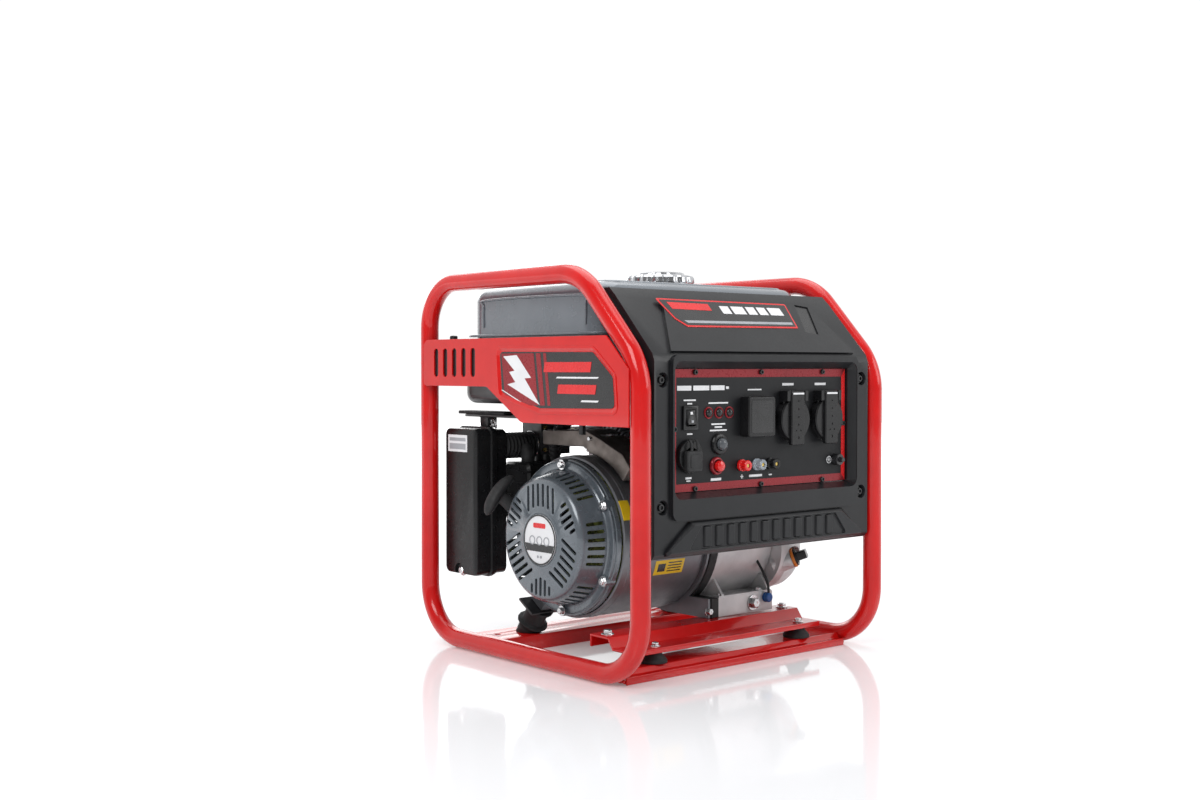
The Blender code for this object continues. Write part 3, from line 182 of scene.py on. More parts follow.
define("orange_rubber", (0.62, 0.16, 0.015), (0.74, 0.21, 0.02), (0.42, 0.55), grain=1200, bump=0.1)
define("blue_plastic", (0.01, 0.075, 0.26), (0.015, 0.1, 0.33), (0.22, 0.36), grain=900, bump=0.08)
define("brass", (0.5, 0.36, 0.1), (0.62, 0.46, 0.15), (0.22, 0.38), 1.0, grain=900, bump=0.08)
define("zinc", (0.56, 0.56, 0.57), (0.74, 0.74, 0.75), (0.16, 0.3), 1.0, grain=700, bump=0.08)


# Meshes

def around(middle, half):
    return (middle - half, middle + half)


def rectangle(u_range, v_range):
    return [(u_range[0], v_range[0]), (u_range[1], v_range[0]), (u_range[1], v_range[1]),
            (u_range[0], v_range[1])]


def box(x_range, y_range, z_range):
    return prism(rectangle(x_range, y_range), "Z", *z_range)


def loft(sections):
    """A closed solid through sections of one point count each."""
    bm = bmesh.new()
    rings = [[bm.verts.new(point) for point in section] for section in sections]
    for first, second in zip(rings, rings[1:]):
        stitch(bm, first, second)
    bm.faces.new(rings[0])
    bm.faces.new(rings[-1])
    bmesh.ops.recalc_face_normals(bm, faces=bm.faces)
    return bm


def placed(outline, axis, distance):
    order = {"X": (2, 0, 1), "Y": (0, 2, 1), "Z": (0, 1, 2)}[axis]
    return [[(u, v, distance)[place] for place in order] for u, v in outline]


def prism(outline, axis, start, end):
    """A closed outline extruded along one axis."""
    return loft([placed(outline, axis, start), placed(outline, axis, end)])


def stitch(bm, first, second):
    """Faces between two rings of one vertex count, either of which may be a single point."""
    count = max(len(first), len(second))
    for index in range(count):
        after = (index + 1) % count
        if len(first) == 1:
            bm.faces.new((first[0], second[after], second[index]))
        elif len(second) == 1:
            bm.faces.new((first[index], first[after], second[0]))
        else:
            bm.faces.new((first[index], first[after], second[after], second[index]))


def turned(origin, direction, profile, segments=64, closed=False, lobes=0, lobe_depth=0.0, lobe_span=(0, 0)):
    """A profile of (distance, radius) points turned about an axis, with grip lobes over part of it."""
    origin = Vector(origin)
    turn = Vector(direction).to_track_quat("Z", "Y").to_matrix()
    flat_start = profile[0][1] == 0 and profile[0][0] == profile[1][0]
    flat_end = profile[-1][1] == 0 and profile[-1][0] == profile[-2][0]
    bm = bmesh.new()
    rings = []
    for along, radius in profile[flat_start : len(profile) - flat_end]:
        count = segments if radius > 0 else 1
        ring_verts = []
        for step in range(count):
            angle = 2 * math.pi * step / count
            size = radius
            if lobe_span[0] <= along <= lobe_span[1]:
                size -= lobe_depth * (0.5 - 0.5 * math.cos(lobes * angle)) ** 2
            offset = Vector((size * math.cos(angle), size * math.sin(angle), along))
            ring_verts.append(bm.verts.new(origin + turn @ offset))
        rings.append(ring_verts)
    for first, second in zip(rings, rings[1:]):
        stitch(bm, first, second)
    if closed:
        stitch(bm, rings[-1], rings[0])
    if flat_start:
        bm.faces.new(rings[0])
    if flat_end:
        bm.faces.new(rings[-1])
    bmesh.ops.recalc_face_normals(bm, faces=bm.faces)
    return bm


def rod(origin, direction, start, end, radius, segments=32):
    return turned(origin, direction, [(start, 0), (start, radius), (end, radius), (end, 0)], segments)


def ring(origin, direction, start, end, outer, inner, segments=48):
    profile = [(start, inner), (start, outer), (end, outer), (end, inner)]
    return turned(origin, direction, profile, segments, closed=True)


def swept(path, radius, sides=16, closed=False):
    """A round tube along a path of points, with flat ends unless it closes on itself."""
    path = [Vector(point) for point in path]
    bm = bmesh.new()
    rings = []
    side = None
    for index, here in enumerate(path):
        before = path[index - 1] if index or closed else here
        after = path[(index + 1) % len(path)] if index < len(path) - 1 or closed else here
        tangent = (after - before).normalized()
        if side is None:
            side = tangent.orthogonal().normalized()
        side = (side - tangent * side.dot(tangent)).normalized()
        across = tangent.cross(side)
        points = []
        for step in range(sides):
            angle = 2 * math.pi * step / sides
            points.append(bm.verts.new(here + radius * (math.cos(angle) * side + math.sin(angle) * across)))
        rings.append(points)
    for first, second in zip(rings, rings[1:]):
        stitch(bm, first, second)
    if closed:
        stitch(bm, rings[-1], rings[0])
    else:
        bm.faces.new(rings[0])
        bm.faces.new(rings[-1])
    bmesh.ops.recalc_face_normals(bm, faces=bm.faces)
    return bm


def eased(points, steps=6):
    """A smooth line through points, by Catmull-Rom pieces."""
    points = [Vector(point) for point in points]
    ends = [points[0] * 2 - points[1]] + points + [points[-1] * 2 - points[-2]]
    line = []
    for a, b, c, d in zip(ends, ends[1:], ends[2:], ends[3:]):
        for step in range(steps):
            t = step / steps
            line.append(0.5 * (2 * b + (c - a) * t + (2 * a - 5 * b + 4 * c - d) * t * t
                               + (3 * b - a - 3 * c + d) * t**3))
    return line + [points[-1]]


def rounded(corners, radii, steps=8):
    """A closed outline with each corner replaced by an arc of its own radius."""
    corners = [Vector(corner) for corner in corners]
    outline = []
    for index, here in enumerate(corners):
        radius = radii[index] if isinstance(radii, (list, tuple)) else radii
        if radius == 0:
            outline.append(here)
            continue
        back = (corners[index - 1] - here).normalized()
        ahead = (corners[(index + 1) % len(corners)] - here).normalized()
        half = back.angle(ahead) / 2
        centre = here + (back + ahead).normalized() * radius / math.sin(half)
        start = here + back * radius / math.tan(half) - centre
        end = here + ahead * radius / math.tan(half) - centre
        first = math.atan2(start.y, start.x)
        sweep = (math.atan2(end.y, end.x) - first + math.pi) % (2 * math.pi) - math.pi
        for step in range(steps + 1):
            angle = first + sweep * step / steps
            outline.append(centre + radius * Vector((math.cos(angle), math.sin(angle))))
    return outline


def folded(points, thickness):
    """Closed outline of a sheet folded along points, its thickness laid to their left."""
    points = [Vector(point) for point in points]
    runs = [(after - before).normalized() for before, after in zip(points, points[1:])]
    offset = []
    for index, here in enumerate(points):
        run_in = runs[max(index - 1, 0)]
        run_out = runs[min(index, len(runs) - 1)]
        normal = Vector((-run_in.y, run_in.x))
        mitre = (normal + Vector((-run_out.y, run_out.x))).normalized()
        offset.append(here + mitre * thickness / mitre.dot(normal))
    return points + offset[::-1]


def arc(centre, radius, start, end, steps):
    points = []
    for step in range(steps + 1):
        angle = math.radians(start + (end - start) * step / steps)
        points.append(Vector(centre) + radius * Vector((math.cos(angle), math.sin(angle))))
    return points


def pillow(x_half, y_range, z_range, corner, edge, soft=(-1, 1), steps=8, corner_steps=10):
    """A block with rounded upright corners, its bottom (-1) and top (1) edges rolled over."""
    layers = []
    for end in (-1, 1):
        level = z_range[0] if end < 0 else z_range[1]
        rolls = []
        if end in soft:
            for step in range(steps + 1):
                angle = math.pi / 2 * step / steps
                rolls.append((edge * (1 - math.sin(angle)), level - end * edge * (1 - math.cos(angle))))
        else:
            rolls.append((0, level))
        layers += rolls if end < 0 else rolls[::-1]
    sections = []
    for inset, level in layers:
        outline = rectangle((-x_half + inset, x_half - inset), (y_range[0] + inset, y_range[1] - inset))
        sections.append(placed(rounded(outline, max(corner - inset, 0.002), corner_steps), "Z", level))
    return loft(sections)


def combined(meshes):
    whole = bmesh.new()
    for bm in meshes:
        mesh = bpy.data.meshes.new("piece")
        bm.to_mesh(mesh)
        bm.free()
        whole.from_mesh(mesh)
        bpy.data.meshes.remove(mesh)
    return whole


def loose(bm, name):
    mesh = bpy.data.meshes.new(name)
    bm.to_mesh(mesh)
    bm.free()
    obj = bpy.data.objects.new(name, mesh)
    bpy.context.scene.collection.objects.link(obj)
    return obj


def worked(bm, joined=(), cut=()):
    """The mesh after its Boolean joins, one by one, and then its cuts, all at once."""
    target = loose(bm, "target")
    tools = []
    for operation, meshes in (("UNION", list(joined)), ("DIFFERENCE", [combined(cut)] if cut else [])):
        for mesh in meshes:
            tool = loose(mesh, "tool")
            tools.append(tool)
            modifier = target.modifiers.new("work", "BOOLEAN")
            modifier.operation = operation
            modifier.object = tool
    evaluated = target.evaluated_get(bpy.context.evaluated_depsgraph_get())
    result = bmesh.new()
    result.from_mesh(evaluated.to_mesh())
    evaluated.to_mesh_clear()
    for obj in [target, *tools]:
        mesh = obj.data
        bpy.data.objects.remove(obj)
        bpy.data.meshes.remove(mesh)
    bmesh.ops.remove_doubles(result, verts=result.verts, dist=0.000005)
    return result


def piece(name, bm, finish, body="frame", stands_for=(), edge=0.0, edge_steps=2, smooth=38):
    """A finished piece that rides on a body: its material, softened edges and the nodes it stands for."""
    obj = loose(bm, name)
    obj.data.materials.append(MATERIALS[finish])
    obj.data.shade_smooth()
    if edge:
        modifier = obj.modifiers.new("edges", "BEVEL")
        modifier.width = edge
        modifier.segments = edge_steps
        modifier.limit_method = "ANGLE"
        modifier.angle_limit = math.radians(32)
        modifier.harden_normals = True
    else:
        obj.data.set_sharp_from_angle(angle=math.radians(smooth))
    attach(obj, body)
    if stands_for:
        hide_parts(*([stands_for] if isinstance(stands_for, str) else stands_for))
    return obj


def refined(node, edge=0.0006, finish=None, edge_steps=2):
    """A node's own solid with its faces merged and its edges softened."""
    bm = bmesh.new()
    bm.from_mesh(frame["nodes"][node].data)
    bmesh.ops.remove_doubles(bm, verts=bm.verts, dist=0.00001)
    bmesh.ops.dissolve_limit(bm, angle_limit=math.radians(0.8), verts=bm.verts, edges=bm.edges)
    return piece(f"{node}_body", bm, finish or SLOT_OF[node], BODY_OF[node], node, edge, edge_steps)


def bolt(name, at, direction, radius=0.005, finish="zinc", body="frame", washer=True, socket_head=False):
    """A hexagon or socket bolt head, standing on its washer."""
    at = Vector(at)
    parts = []
    if washer:
        parts.append(turned(at, direction, [(0, 0), (0, radius * 1.55), (0.0009, radius * 1.5), (0.0009, 0)],
                            32))
    start = 0.0006 if washer else 0
    high = start + radius * 0.95
    if socket_head:
        head = [(start, 0), (start, radius), (high - 0.0005, radius), (high, radius * 0.9),
                (high, radius * 0.52), (high - radius * 0.5, radius * 0.5), (high - radius * 0.5, 0)]
        parts.append(turned(at, direction, head, 24))
    else:
        parts.append(turned(at, direction, [(start, 0), (start, radius * 1.1), (high * 0.8, radius * 1.1),
                                            (high, radius * 0.85), (high, 0)], 6))
        parts.append(turned(at, direction, [(high - 0.0004, 0), (high - 0.0004, radius * 0.62),
                                            (high + 0.0006, 0)], 24))
    piece(name, combined(parts), finish, body, edge=0.00025, edge_steps=1)


# Frame

def build_loops():
    half_depth, top, chamfer = 0.194, 0.441, (0.0956, 0.1014)
    corners = [(-half_depth, TUBE_R), (half_depth, TUBE_R), (half_depth, top),
               (-half_depth + chamfer[0], top), (-half_depth, top - chamfer[1])]
    outline = rounded(corners, [0.062, 0.062, 0.055, 0.075, 0.075], steps=18)
    for side, x in (("left", -LOOP_X), ("right", LOOP_X)):
        path = [(x, point.x, point.y) for point in outline]
        piece(f"loop_tube_{side}", swept(path, TUBE_R, 48, closed=True), "red_paint",
              stands_for=f"frame_loop_{side}")
        beads = []
        sign = 1 if x < 0 else -1
        for y, half in ((-0.134, 0.024), (0.09, 0.028)):
            bead = [(x + sign * 0.0106, y + half * (step / 12 * 2 - 1),
                     0.0035 + 0.0006 * math.sin(step * 2.1)) for step in range(13)]
            beads.append(swept(bead, 0.0022, 8))
        piece(f"weld_beads_{side}", combined(beads), "red_paint")


def build_rails():
    for node in ("base_rail_front", "base_rail_rear", "engine_rail_front"):
        refined(node, 0.0008)
    refined("engine_rail_rear", 0.0006)
    for index, x in enumerate((-0.118, 0.116)):
        side = ("left", "right")[index]
        base = (x, -0.137, 0.0143)
        profile = [(0, 0), (0, 0.0158), (0.003, 0.016), (0.0055, 0.014), (0.0085, 0.0108), (0.0125, 0.0095),
                   (0.0153, 0.009), (0.0153, 0)]
        piece(f"rubber_foot_front_{side}", turned(base, (0, 0, 1), profile), "rubber",
              stands_for=f"rubber_mount_front_{side}", edge=0.0004)
        bolt(f"mount_nut_front_{side}", (x, -0.14, 0.0325), (0, 0, 1), 0.004)
    for side in ("left", "right"):
        refined(f"rubber_mount_rear_{side}", 0.0006)
    bolt("rail_bolt_right", (0.131, -0.1, 0.044), (0, 0, 1), 0.0048)
    bolt("rail_bolt_left", (-0.152, -0.1, 0.044), (0, 0, 1), 0.0048)


# Side panels

def panel_outline():
    corners = [(-0.19, 0.276), (-0.008, 0.276), (0.058, 0.316), (0.188, 0.316), (0.188, 0.372),
               (-0.154, 0.372), (-0.19, 0.336)]
    return rounded(corners, [0, 0.01, 0.01, 0.006, 0.01, 0.004, 0.004], steps=8)


def grown(outline, amount):
    """A convex outline moved out from its centre line by an amount, each side parallel to itself."""
    points = [Vector(point) for point in outline]
    area = sum(a.x * b.y - b.x * a.y for a, b in zip(points, points[1:] + points[:1]))
    turn = 1 if area > 0 else -1
    moved = []
    for index, here in enumerate(points):
        run_in = (here - points[index - 1]).normalized()
        run_out = (points[(index + 1) % len(points)] - here).normalized()
        normal = Vector((run_in.y, -run_in.x)) * turn
        mitre = (normal + Vector((run_out.y, -run_out.x)) * turn).normalized()
        moved.append(here + mitre * amount / max(mitre.dot(normal), 0.3))
    return moved


POCKET = [(0.033, 0.356), (-0.132, 0.3545), (-0.164, 0.328), (-0.167, 0.295), (-0.041, 0.293), (0.029, 0.31)]
LIGHTNING = [(0.0262, 0.3508), (0.001, 0.3521), (-0.0255, 0.3265), (-0.0135, 0.326), (-0.041, 0.2965),
             (0.0185, 0.319), (0.0035, 0.3215), (0.015, 0.333), (0.005, 0.3345)]
PANEL_BANDS = [(-0.034, 0.026, 0.004, "dark_red_print"), (-0.046, -0.038, 0.004, "dark_red_print"),
               (-0.056, -0.051, 0.004, "dark_red_print")]


def build_side_panels():
    for side, sign in (("left", -1), ("right", 1)):
        slots = []
        for step in range(5):
            outline = rounded(rectangle(around(0.085 + 0.019 * step, 0.0045), (0.327, 0.361)), 0.0042,
                              steps=8)
            slots.append(prism(outline, "X", sign * 0.19, sign * 0.21))
        rim = rounded(grown(POCKET, 0.0045), 0.008)
        floor = rounded(grown(POCKET, 0.001), 0.006)
        slots.append(loft([placed(rim, "X", sign * (PANEL_OUT + 0.0012)),
                           placed(floor, "X", sign * (PANEL_OUT - 0.0013))]))
        edge_rim = prism(rounded(grown(POCKET, 0.0065), 0.009), "X", sign * (PANEL_IN + 0.0004),
                         sign * (PANEL_OUT + 0.0009))
        panel = worked(prism(panel_outline(), "X", sign * PANEL_IN, sign * PANEL_OUT), [edge_rim], slots)
        piece(f"side_cover_{side}", panel, "red_paint", stands_for=f"side_panel_{side}", edge=0.0005,
              edge_steps=3)
        lip = box(sorted((sign * (PANEL_IN + 0.0005), sign * 0.1745)), (-0.138, 0.178), (0.37, 0.3716))
        piece(f"tank_bracket_{side}", lip, "black_steel", edge=0.0004)
        backing = box(sorted((sign * 0.1974, sign * 0.1986)), (0.069, 0.179), (0.319, 0.369))
        piece(f"slot_backing_{side}", backing, "black_steel", edge=0.0003)
        bolt(f"bracket_bolt_{side}", (sign * 0.1815, 0.152, 0.3716), (0, 0, 1), 0.0048, "black_steel")

        def on_panel(name, outline, depth, finish):
            start = sign * (PANEL_OUT - 0.0013 + depth)
            return piece(name, prism(outline, "X", start, start + sign * 0.00025), finish)

        on_panel(f"panel_decal_{side}", rounded(POCKET, 0.005), 0.00005, "black_print")
        for index, (low, high, slant, finish) in enumerate(PANEL_BANDS):
            band = [(high + slant, 0.354), (low + slant, 0.354), (low - slant, 0.296), (high - slant, 0.296)]
            on_panel(f"panel_band_{side}_{index}", band, 0.0002, finish)
        on_panel(f"panel_bolt_mark_{side}", LIGHTNING, 0.0003, "white_print")
        on_panel(f"panel_chevron_{side}", [(0.03, 0.3125), (0.027, 0.3125), (-0.015, 0.2965),
                                           (-0.019, 0.2935)], 0.0003, "white_print")
        bars = [((-0.048, -0.128), (0.333, 0.344)), ((-0.07, -0.14), (0.3262, 0.328)),
                ((-0.072, -0.136), (0.3095, 0.3195)), ((-0.112, -0.14), (0.301, 0.303))]
        finishes = ("bright_red_print", "white_print", "bright_red_print", "white_print")
        for index, (bar, finish) in enumerate(zip(bars, finishes)):
            slanted = [(bar[0][0] - 0.002, bar[1][1]), (bar[0][1] - 0.002, bar[1][1]),
                       (bar[0][1], bar[1][0]), (bar[0][0], bar[1][0])]
            on_panel(f"panel_stripe_{side}_{index}", slanted, 0.00045, finish)


# Fuel tank

def build_tank():
    lower = pillow(TANK_HALF, TANK_Y, (0.295, SEAM_Z[0] + 0.001), 0.03, 0.012, (-1,))
    # Dark steel shell around the lower tank, a little wider and longer than it: painted shade where the lower
    # tank lies in shade under the side panels.
    painted_shade_shell = pillow(TANK_HALF + 0.001, (-0.1, 0.1662), (0.2948, 0.368), 0.03, 0.012, (-1, 1))
    upper = pillow(TANK_HALF, TANK_Y, (SEAM_Z[1] - 0.001, TANK_TOP), 0.03, 0.016, (1,))
    flange_corners = rectangle(around(0, TANK_HALF + 0.009), (TANK_Y[0] - 0.002, TANK_Y[1] + 0.008))
    flange = prism(rounded(flange_corners, 0.034, 12), "Z", *SEAM_Z)
    deck = pillow(0.15, (-0.092, 0.122), (TANK_TOP - 0.01, TANK_TOP + 0.0016), 0.024, 0.003, (1,), 5)
    neck = rod(CAP_AT, (0, 0, 1), TANK_TOP - 0.004, TANK_TOP + 0.006, 0.034, 64)
    presses = []
    for sign in (-1, 1):
        outline = rounded(rectangle((-0.082, 0.118), (0.386, 0.43)), 0.01, 6)
        deep = rounded(rectangle((-0.08, 0.116), (0.388, 0.44)), 0.009, 6)
        presses.append(loft([placed(outline, "X", sign * (TANK_HALF + 0.001)),
                             placed(deep, "X", sign * (TANK_HALF - 0.0022))]))
    piece("tank_lower_half", lower, "tank_paint", stands_for="fuel_tank", edge=0.0004)
    # The dark shell is painted shade over the lower tank.
    piece("tank_lower_painted_shade", painted_shade_shell, "black_steel", edge=0.0006)
    piece("tank_upper_half", worked(upper, [deck, neck]), "tank_paint", edge=0.0008, edge_steps=3)
    for side, sign in (("left", -1), ("right", 1)):
        swage = [(sign * (TANK_HALF + 0.0002), y, z) for y, z in ((-0.078, 0.386), (-0.078, 0.411),
                (-0.07, 0.4185), (0.102, 0.4185), (0.112, 0.411), (0.112, 0.386))]
        piece(f"tank_swage_{side}", swept(eased(swage, 5), 0.0016, 12), "tank_paint")
    piece("tank_seam_flange", flange, "tank_paint", edge=0.0009, edge_steps=3)

    cap_profile = [(0.4403, 0), (0.4403, 0.0345), (0.436, 0.0345), (0.436, 0.0415), (0.4372, 0.043),
                   (0.4396, 0.043), (0.4404, 0.0412), (0.4412, 0.0412), (0.4424, 0.0432), (0.448, 0.0426),
                   (0.4502, 0.0408), (0.4514, 0.035), (0.4503, 0.033), (0.4512, 0.0318), (0.454, 0.03),
                   (0.4548, 0.028), (0.455, 0)]
    cap = turned(CAP_AT, (0, 0, 1), cap_profile, 192, lobes=16, lobe_depth=0.0022, lobe_span=(0.4416, 0.4507))
    piece("tank_cap", cap, "chrome", BODY_OF["fuel_cap"], "fuel_cap", smooth=28)
    piece("cap_gasket", ring(CAP_AT, (0, 0, 1), 0.4352, 0.4359, 0.0405, 0.0348, 64), "rubber")


# Fascia

def on_slope(points, out, thickness):
    """A closed (x, distance up the slope) outline standing on the sloping top of the fascia."""
    def at(level):
        return [SLOPE_FOOT + Vector((u, 0, 0)) + SLOPE_UP * v + SLOPE_OUT * level for u, v in points]
    return loft([at(out), at(out + thickness)])


def build_fascia():
    half, wall, bottom = 0.173, 0.0035, 0.1365
    outer = [(-0.16, bottom), (-0.194, bottom), (-0.1985, bottom + 0.005), (-0.1985, 0.345),
             (-0.1955, 0.353), (-0.137, 0.4155), (-0.127, 0.4245), (-0.11, 0.4245)]
    outer = [Vector(point) for point in outer]
    shell = prism(folded(outer[::-1], wall), "X", -half, half)
    cheek = [Vector((-0.17, bottom + 0.001)), Vector((-0.1935, bottom + 0.001))]
    cheek += [outer[2] + Vector((0.0006, 0)), outer[3] + Vector((0.0006, 0)),
              outer[4] + Vector((0.0006, -0.0004)), outer[5] + Vector((0.0006, -0.0004)),
              outer[6] + Vector((0.0004, -0.0006)), Vector((-0.1108, 0.4239)), Vector((-0.112, 0.385)),
              Vector((-0.163, 0.342))]
    cheeks = [prism(cheek, "X", *sorted((sign * (half - 0.0004), sign * (half - 0.0034))))
              for sign in (-1, 1)]

    raised_front = prism(rounded(rectangle((-0.15, 0.1505), (0.176, 0.3515)), 0.009, 5), "Y", -0.1975, -0.203)
    border_z = (PLATE_Z[0] - 0.006, PLATE_Z[1] + 0.0075)
    rim_cut = rounded(rectangle((PLATE_X[0] - 0.0065, PLATE_X[1] + 0.0065), border_z), 0.0105, 8)
    floor_cut = rounded(rectangle((PLATE_X[0] - 0.0004, PLATE_X[1] + 0.0004),
                                  (PLATE_Z[0] - 0.0004, PLATE_Z[1] + 0.0004)), 0.002, 8)
    recess = loft([placed(rim_cut, "Y", -0.209), placed(rim_cut, "Y", -0.202),
                   placed(floor_cut, "Y", -0.193), placed(floor_cut, "Y", -0.178)])
    liner = prism(rounded(rectangle((PLATE_X[0] - 0.009, PLATE_X[1] + 0.009), around(0.27075, 0.0755)),
                          0.012, 5), "Y", -0.186, -0.1975)
    slope_top = [(-0.148, 0.002), (0.1485, 0.002), (0.127, 0.08), (0.123, 0.0835), (-0.106, 0.0835),
                 (-0.111, 0.08)]
    raised_slope = on_slope(slope_top, -0.003, 0.0062)
    dimple_profile = [(0.193, 0), (0.193, 0.006), (0.199, 0.0082), (0.21, 0.0082), (0.21, 0)]
    dimple = [turned((x, 0, z), (0, -1, 0), dimple_profile, 40) for x in (-0.161, 0.161)
              for z in (0.191, 0.325)]
    stripe = on_slope([(0.0885, 0.0345), (0.1085, 0.031), (0.124, 0.0765), (0.103, 0.08)], 0.0014, 0.006)
    front = worked(shell, cheeks, [])
    front = worked(front, [liner, raised_front, raised_slope], [recess, *dimple, stripe])
    piece("fascia_shell", front, "charcoal_plastic", stands_for="fascia", edge=0.0013, edge_steps=3)
    piece("fascia_stripe", on_slope([(0.0895, 0.035), (0.108, 0.0317), (0.1233, 0.076), (0.1036, 0.0794)],
                                    0.0006, 0.0012), "black_print")
    for index, (x, z) in enumerate(((-0.161, 0.191), (-0.161, 0.325), (0.161, 0.191), (0.161, 0.325))):
        bolt(f"fascia_screw_{index}", (x, -0.1932, z), (0, -1, 0), 0.0038, "black_steel", socket_head=True)

    def bumper(inset):
        return [(-0.158 + inset, bottom + 0.003 + inset), (0.158 - inset, bottom + 0.003 + inset),
                (0.158 - inset, bottom + 0.007 + inset), (0.123 - inset, 0.174 - inset),
                (-0.123 + inset, 0.174 - inset), (-0.158 + inset, bottom + 0.007 + inset)]

    body = loft([placed(bumper(0), "Y", -0.196), placed(bumper(0), "Y", -0.201),
                 placed(bumper(0.0035), "Y", -0.2045)])
    field = rounded([(-0.128, bottom + 0.008), (0.128, bottom + 0.008), (0.108, 0.1695), (-0.108, 0.1695)],
                    0.002, 3)
    hollow = prism(field, "Y", -0.202, -0.21)
    ribs = []
    for step in range(12):
        x = -0.099 + 0.018 * step
        length = 0.169
        rib = loft([placed(rounded(rectangle(around(x, 0.0062), (bottom + 0.0085, length)), 0.0015, 3), "Y",
                           -0.201), placed(rounded(rectangle(around(x, 0.0048),
                (bottom + 0.01, length - 0.0015)), 0.0012, 3), "Y", -0.204)])
        ribs.append(rib)
    piece("bumper", worked(body, [], [hollow]), "charcoal_plastic", edge=0.0009, edge_steps=3)
    piece("bumper_ribs", combined(ribs), "charcoal_plastic", edge=0.0006)

    label = [(-0.1215, 0.0815), (0.086, 0.08), (0.0795, 0.04), (-0.1, 0.038), (-0.112, 0.05)]
    piece("top_label_border", on_slope(rounded(label, 0.002, 4), 0.0031, 0.0006), "bright_red_print",
          edge=0.0002)
    piece("top_label_field", on_slope(rounded(grown(label, -0.0024), 0.0015, 4), 0.0034, 0.0005),
          "black_print")
    piece("top_label_bar", on_slope([(-0.1085, 0.0755), (-0.046, 0.0745), (-0.046, 0.064), (-0.106, 0.065)],
                                    0.0036, 0.0005), "bright_red_print")
    dashes = [on_slope([(x, 0.072), (x + width, 0.072), (x + width, 0.06), (x, 0.06)], 0.0036, 0.0005)
              for x, width in ((-0.03, 0.014), (-0.012, 0.02), (0.012, 0.014), (0.03, 0.014),
                               (0.048, 0.022))]
    piece("top_label_dashes", combined(dashes), "white_print")
    piece("top_label_line", on_slope([(-0.1, 0.0475), (0.0745, 0.049), (0.074, 0.0452), (-0.096, 0.0437)],
                                     0.0036, 0.0005), "grey_print")


# Control plate

def on_plate(outline, start, end):
    """An (x, z) outline standing on the control plate, its distances counted outward."""
    return prism(outline, "Y", PLATE_Y - start, PLATE_Y - end)


def plate_turned(at, profile, segments=48, **grip):
    return turned((at[0], PLATE_Y, at[1]), (0, -1, 0), profile, segments, **grip)


def dash(x, z, half_x, half_z=0.0008):
    return on_plate(rectangle(around(x, half_x), around(z, half_z)), 0.00005, 0.0003)


def build_control_plate():
    holes = [on_plate(rectangle(around(-0.1133, 0.0093), around(0.2841, 0.0113)), -0.004, 0.002)]
    for x in (0.0455, 0.1035):
        holes.append(plate_turned((x, 0.279), [(-0.004, 0), (-0.004, 0.0213), (0.002, 0.0213), (0.002, 0)]))
    for at in ((-0.069, 0.2548), (-0.0735, 0.231)):
        holes.append(plate_turned(at, [(-0.004, 0), (-0.004, 0.0051), (0.002, 0.0051), (0.002, 0)]))
    holes.append(plate_turned((-0.115, 0.243), [(-0.004, 0), (-0.004, 0.0143), (0.002, 0.0143), (0.002, 0)]))
    plate = worked(on_plate(rectangle(PLATE_X, PLATE_Z), -0.002, 0), [], holes)
    piece("printed_plate", plate, "plate_print", stands_for="control_plate", edge=0.0003)

    outer = rectangle((PLATE_X[0] + 0.0006, PLATE_X[1] - 0.0006), (PLATE_Z[0] + 0.0006, PLATE_Z[1] - 0.0006))
    inner_x, inner_z = (-0.1335, 0.135), (0.2135, 0.3275)
    inner = rectangle(inner_x, inner_z)
    sides = [("bottom", "dark_red_print"), ("right", "bright_red_print"), ("top", "dark_red_print"),
             ("left", "dark_red_print")]
    for index, (name, finish) in enumerate(sides):
        after = (index + 1) % 4
        strip = [outer[index], outer[after], inner[after], inner[index]]
        piece(f"plate_border_{name}", on_plate(strip, 0.00005, 0.0003), finish)
    for index, (x, z) in enumerate([(x, z) for x in (-0.106, -0.003, 0.1005) for z in (0.3331, 0.2078)]
                                   + [(-0.1364, 0.2724), (0.137, 0.2724)]):
        bolt(f"plate_screw_{index}", (x, PLATE_Y - 0.0002, z), (0, -1, 0), 0.0029, "black_steel",
             washer=False, socket_head=True)

    marks = [dash(-0.1215, 0.316, 0.0105, 0.0026), dash(-0.096, 0.316, 0.012, 0.0026),
             dash(-0.071, 0.316, 0.0105, 0.0026), dash(-0.056, 0.316, 0.0022, 0.0014)]
    piece("plate_title_blocks", combined(marks), "white_print")
    marks = [dash(-0.1133, 0.303, 0.009), dash(-0.1133, 0.2993, 0.0035), dash(-0.1133, 0.2668, 0.004),
             dash(-0.07, 0.2995, 0.015), dash(-0.07, 0.2765, 0.0105), dash(-0.07, 0.2732, 0.0055),
             dash(-0.07, 0.2697, 0.013), dash(-0.013, 0.3135, 0.011), dash(0.042, 0.319, 0.0095, 0.0014),
             dash(0.0975, 0.319, 0.0095, 0.0014), dash(-0.0735, 0.2163, 0.008, 0.0014),
             dash(-0.115, 0.2195, 0.0045, 0.0011), dash(-0.115, 0.2165, 0.003, 0.0007),
             dash(-0.011, 0.2175, 0.0105, 0.0013), dash(0.013, 0.2175, 0.0025, 0.0007),
             dash(-0.033, 0.2175, 0.0022, 0.0006), dash(-0.033, 0.2175, 0.0006, 0.0022)]
    piece("plate_marks", combined(marks), "white_print")
    earth = [ring((0.1135, PLATE_Y, 0.2302), (0, -1, 0), 0.00005, 0.0003, 0.0042, 0.0035, 32),
             dash(0.1135, 0.2308, 0.0024, 0.0004), dash(0.1135, 0.2297, 0.0016, 0.0004),
             dash(0.1135, 0.2286, 0.0008, 0.0004), dash(0.1135, 0.232, 0.0004, 0.001)]
    piece("earth_symbol", combined(earth), "white_print")


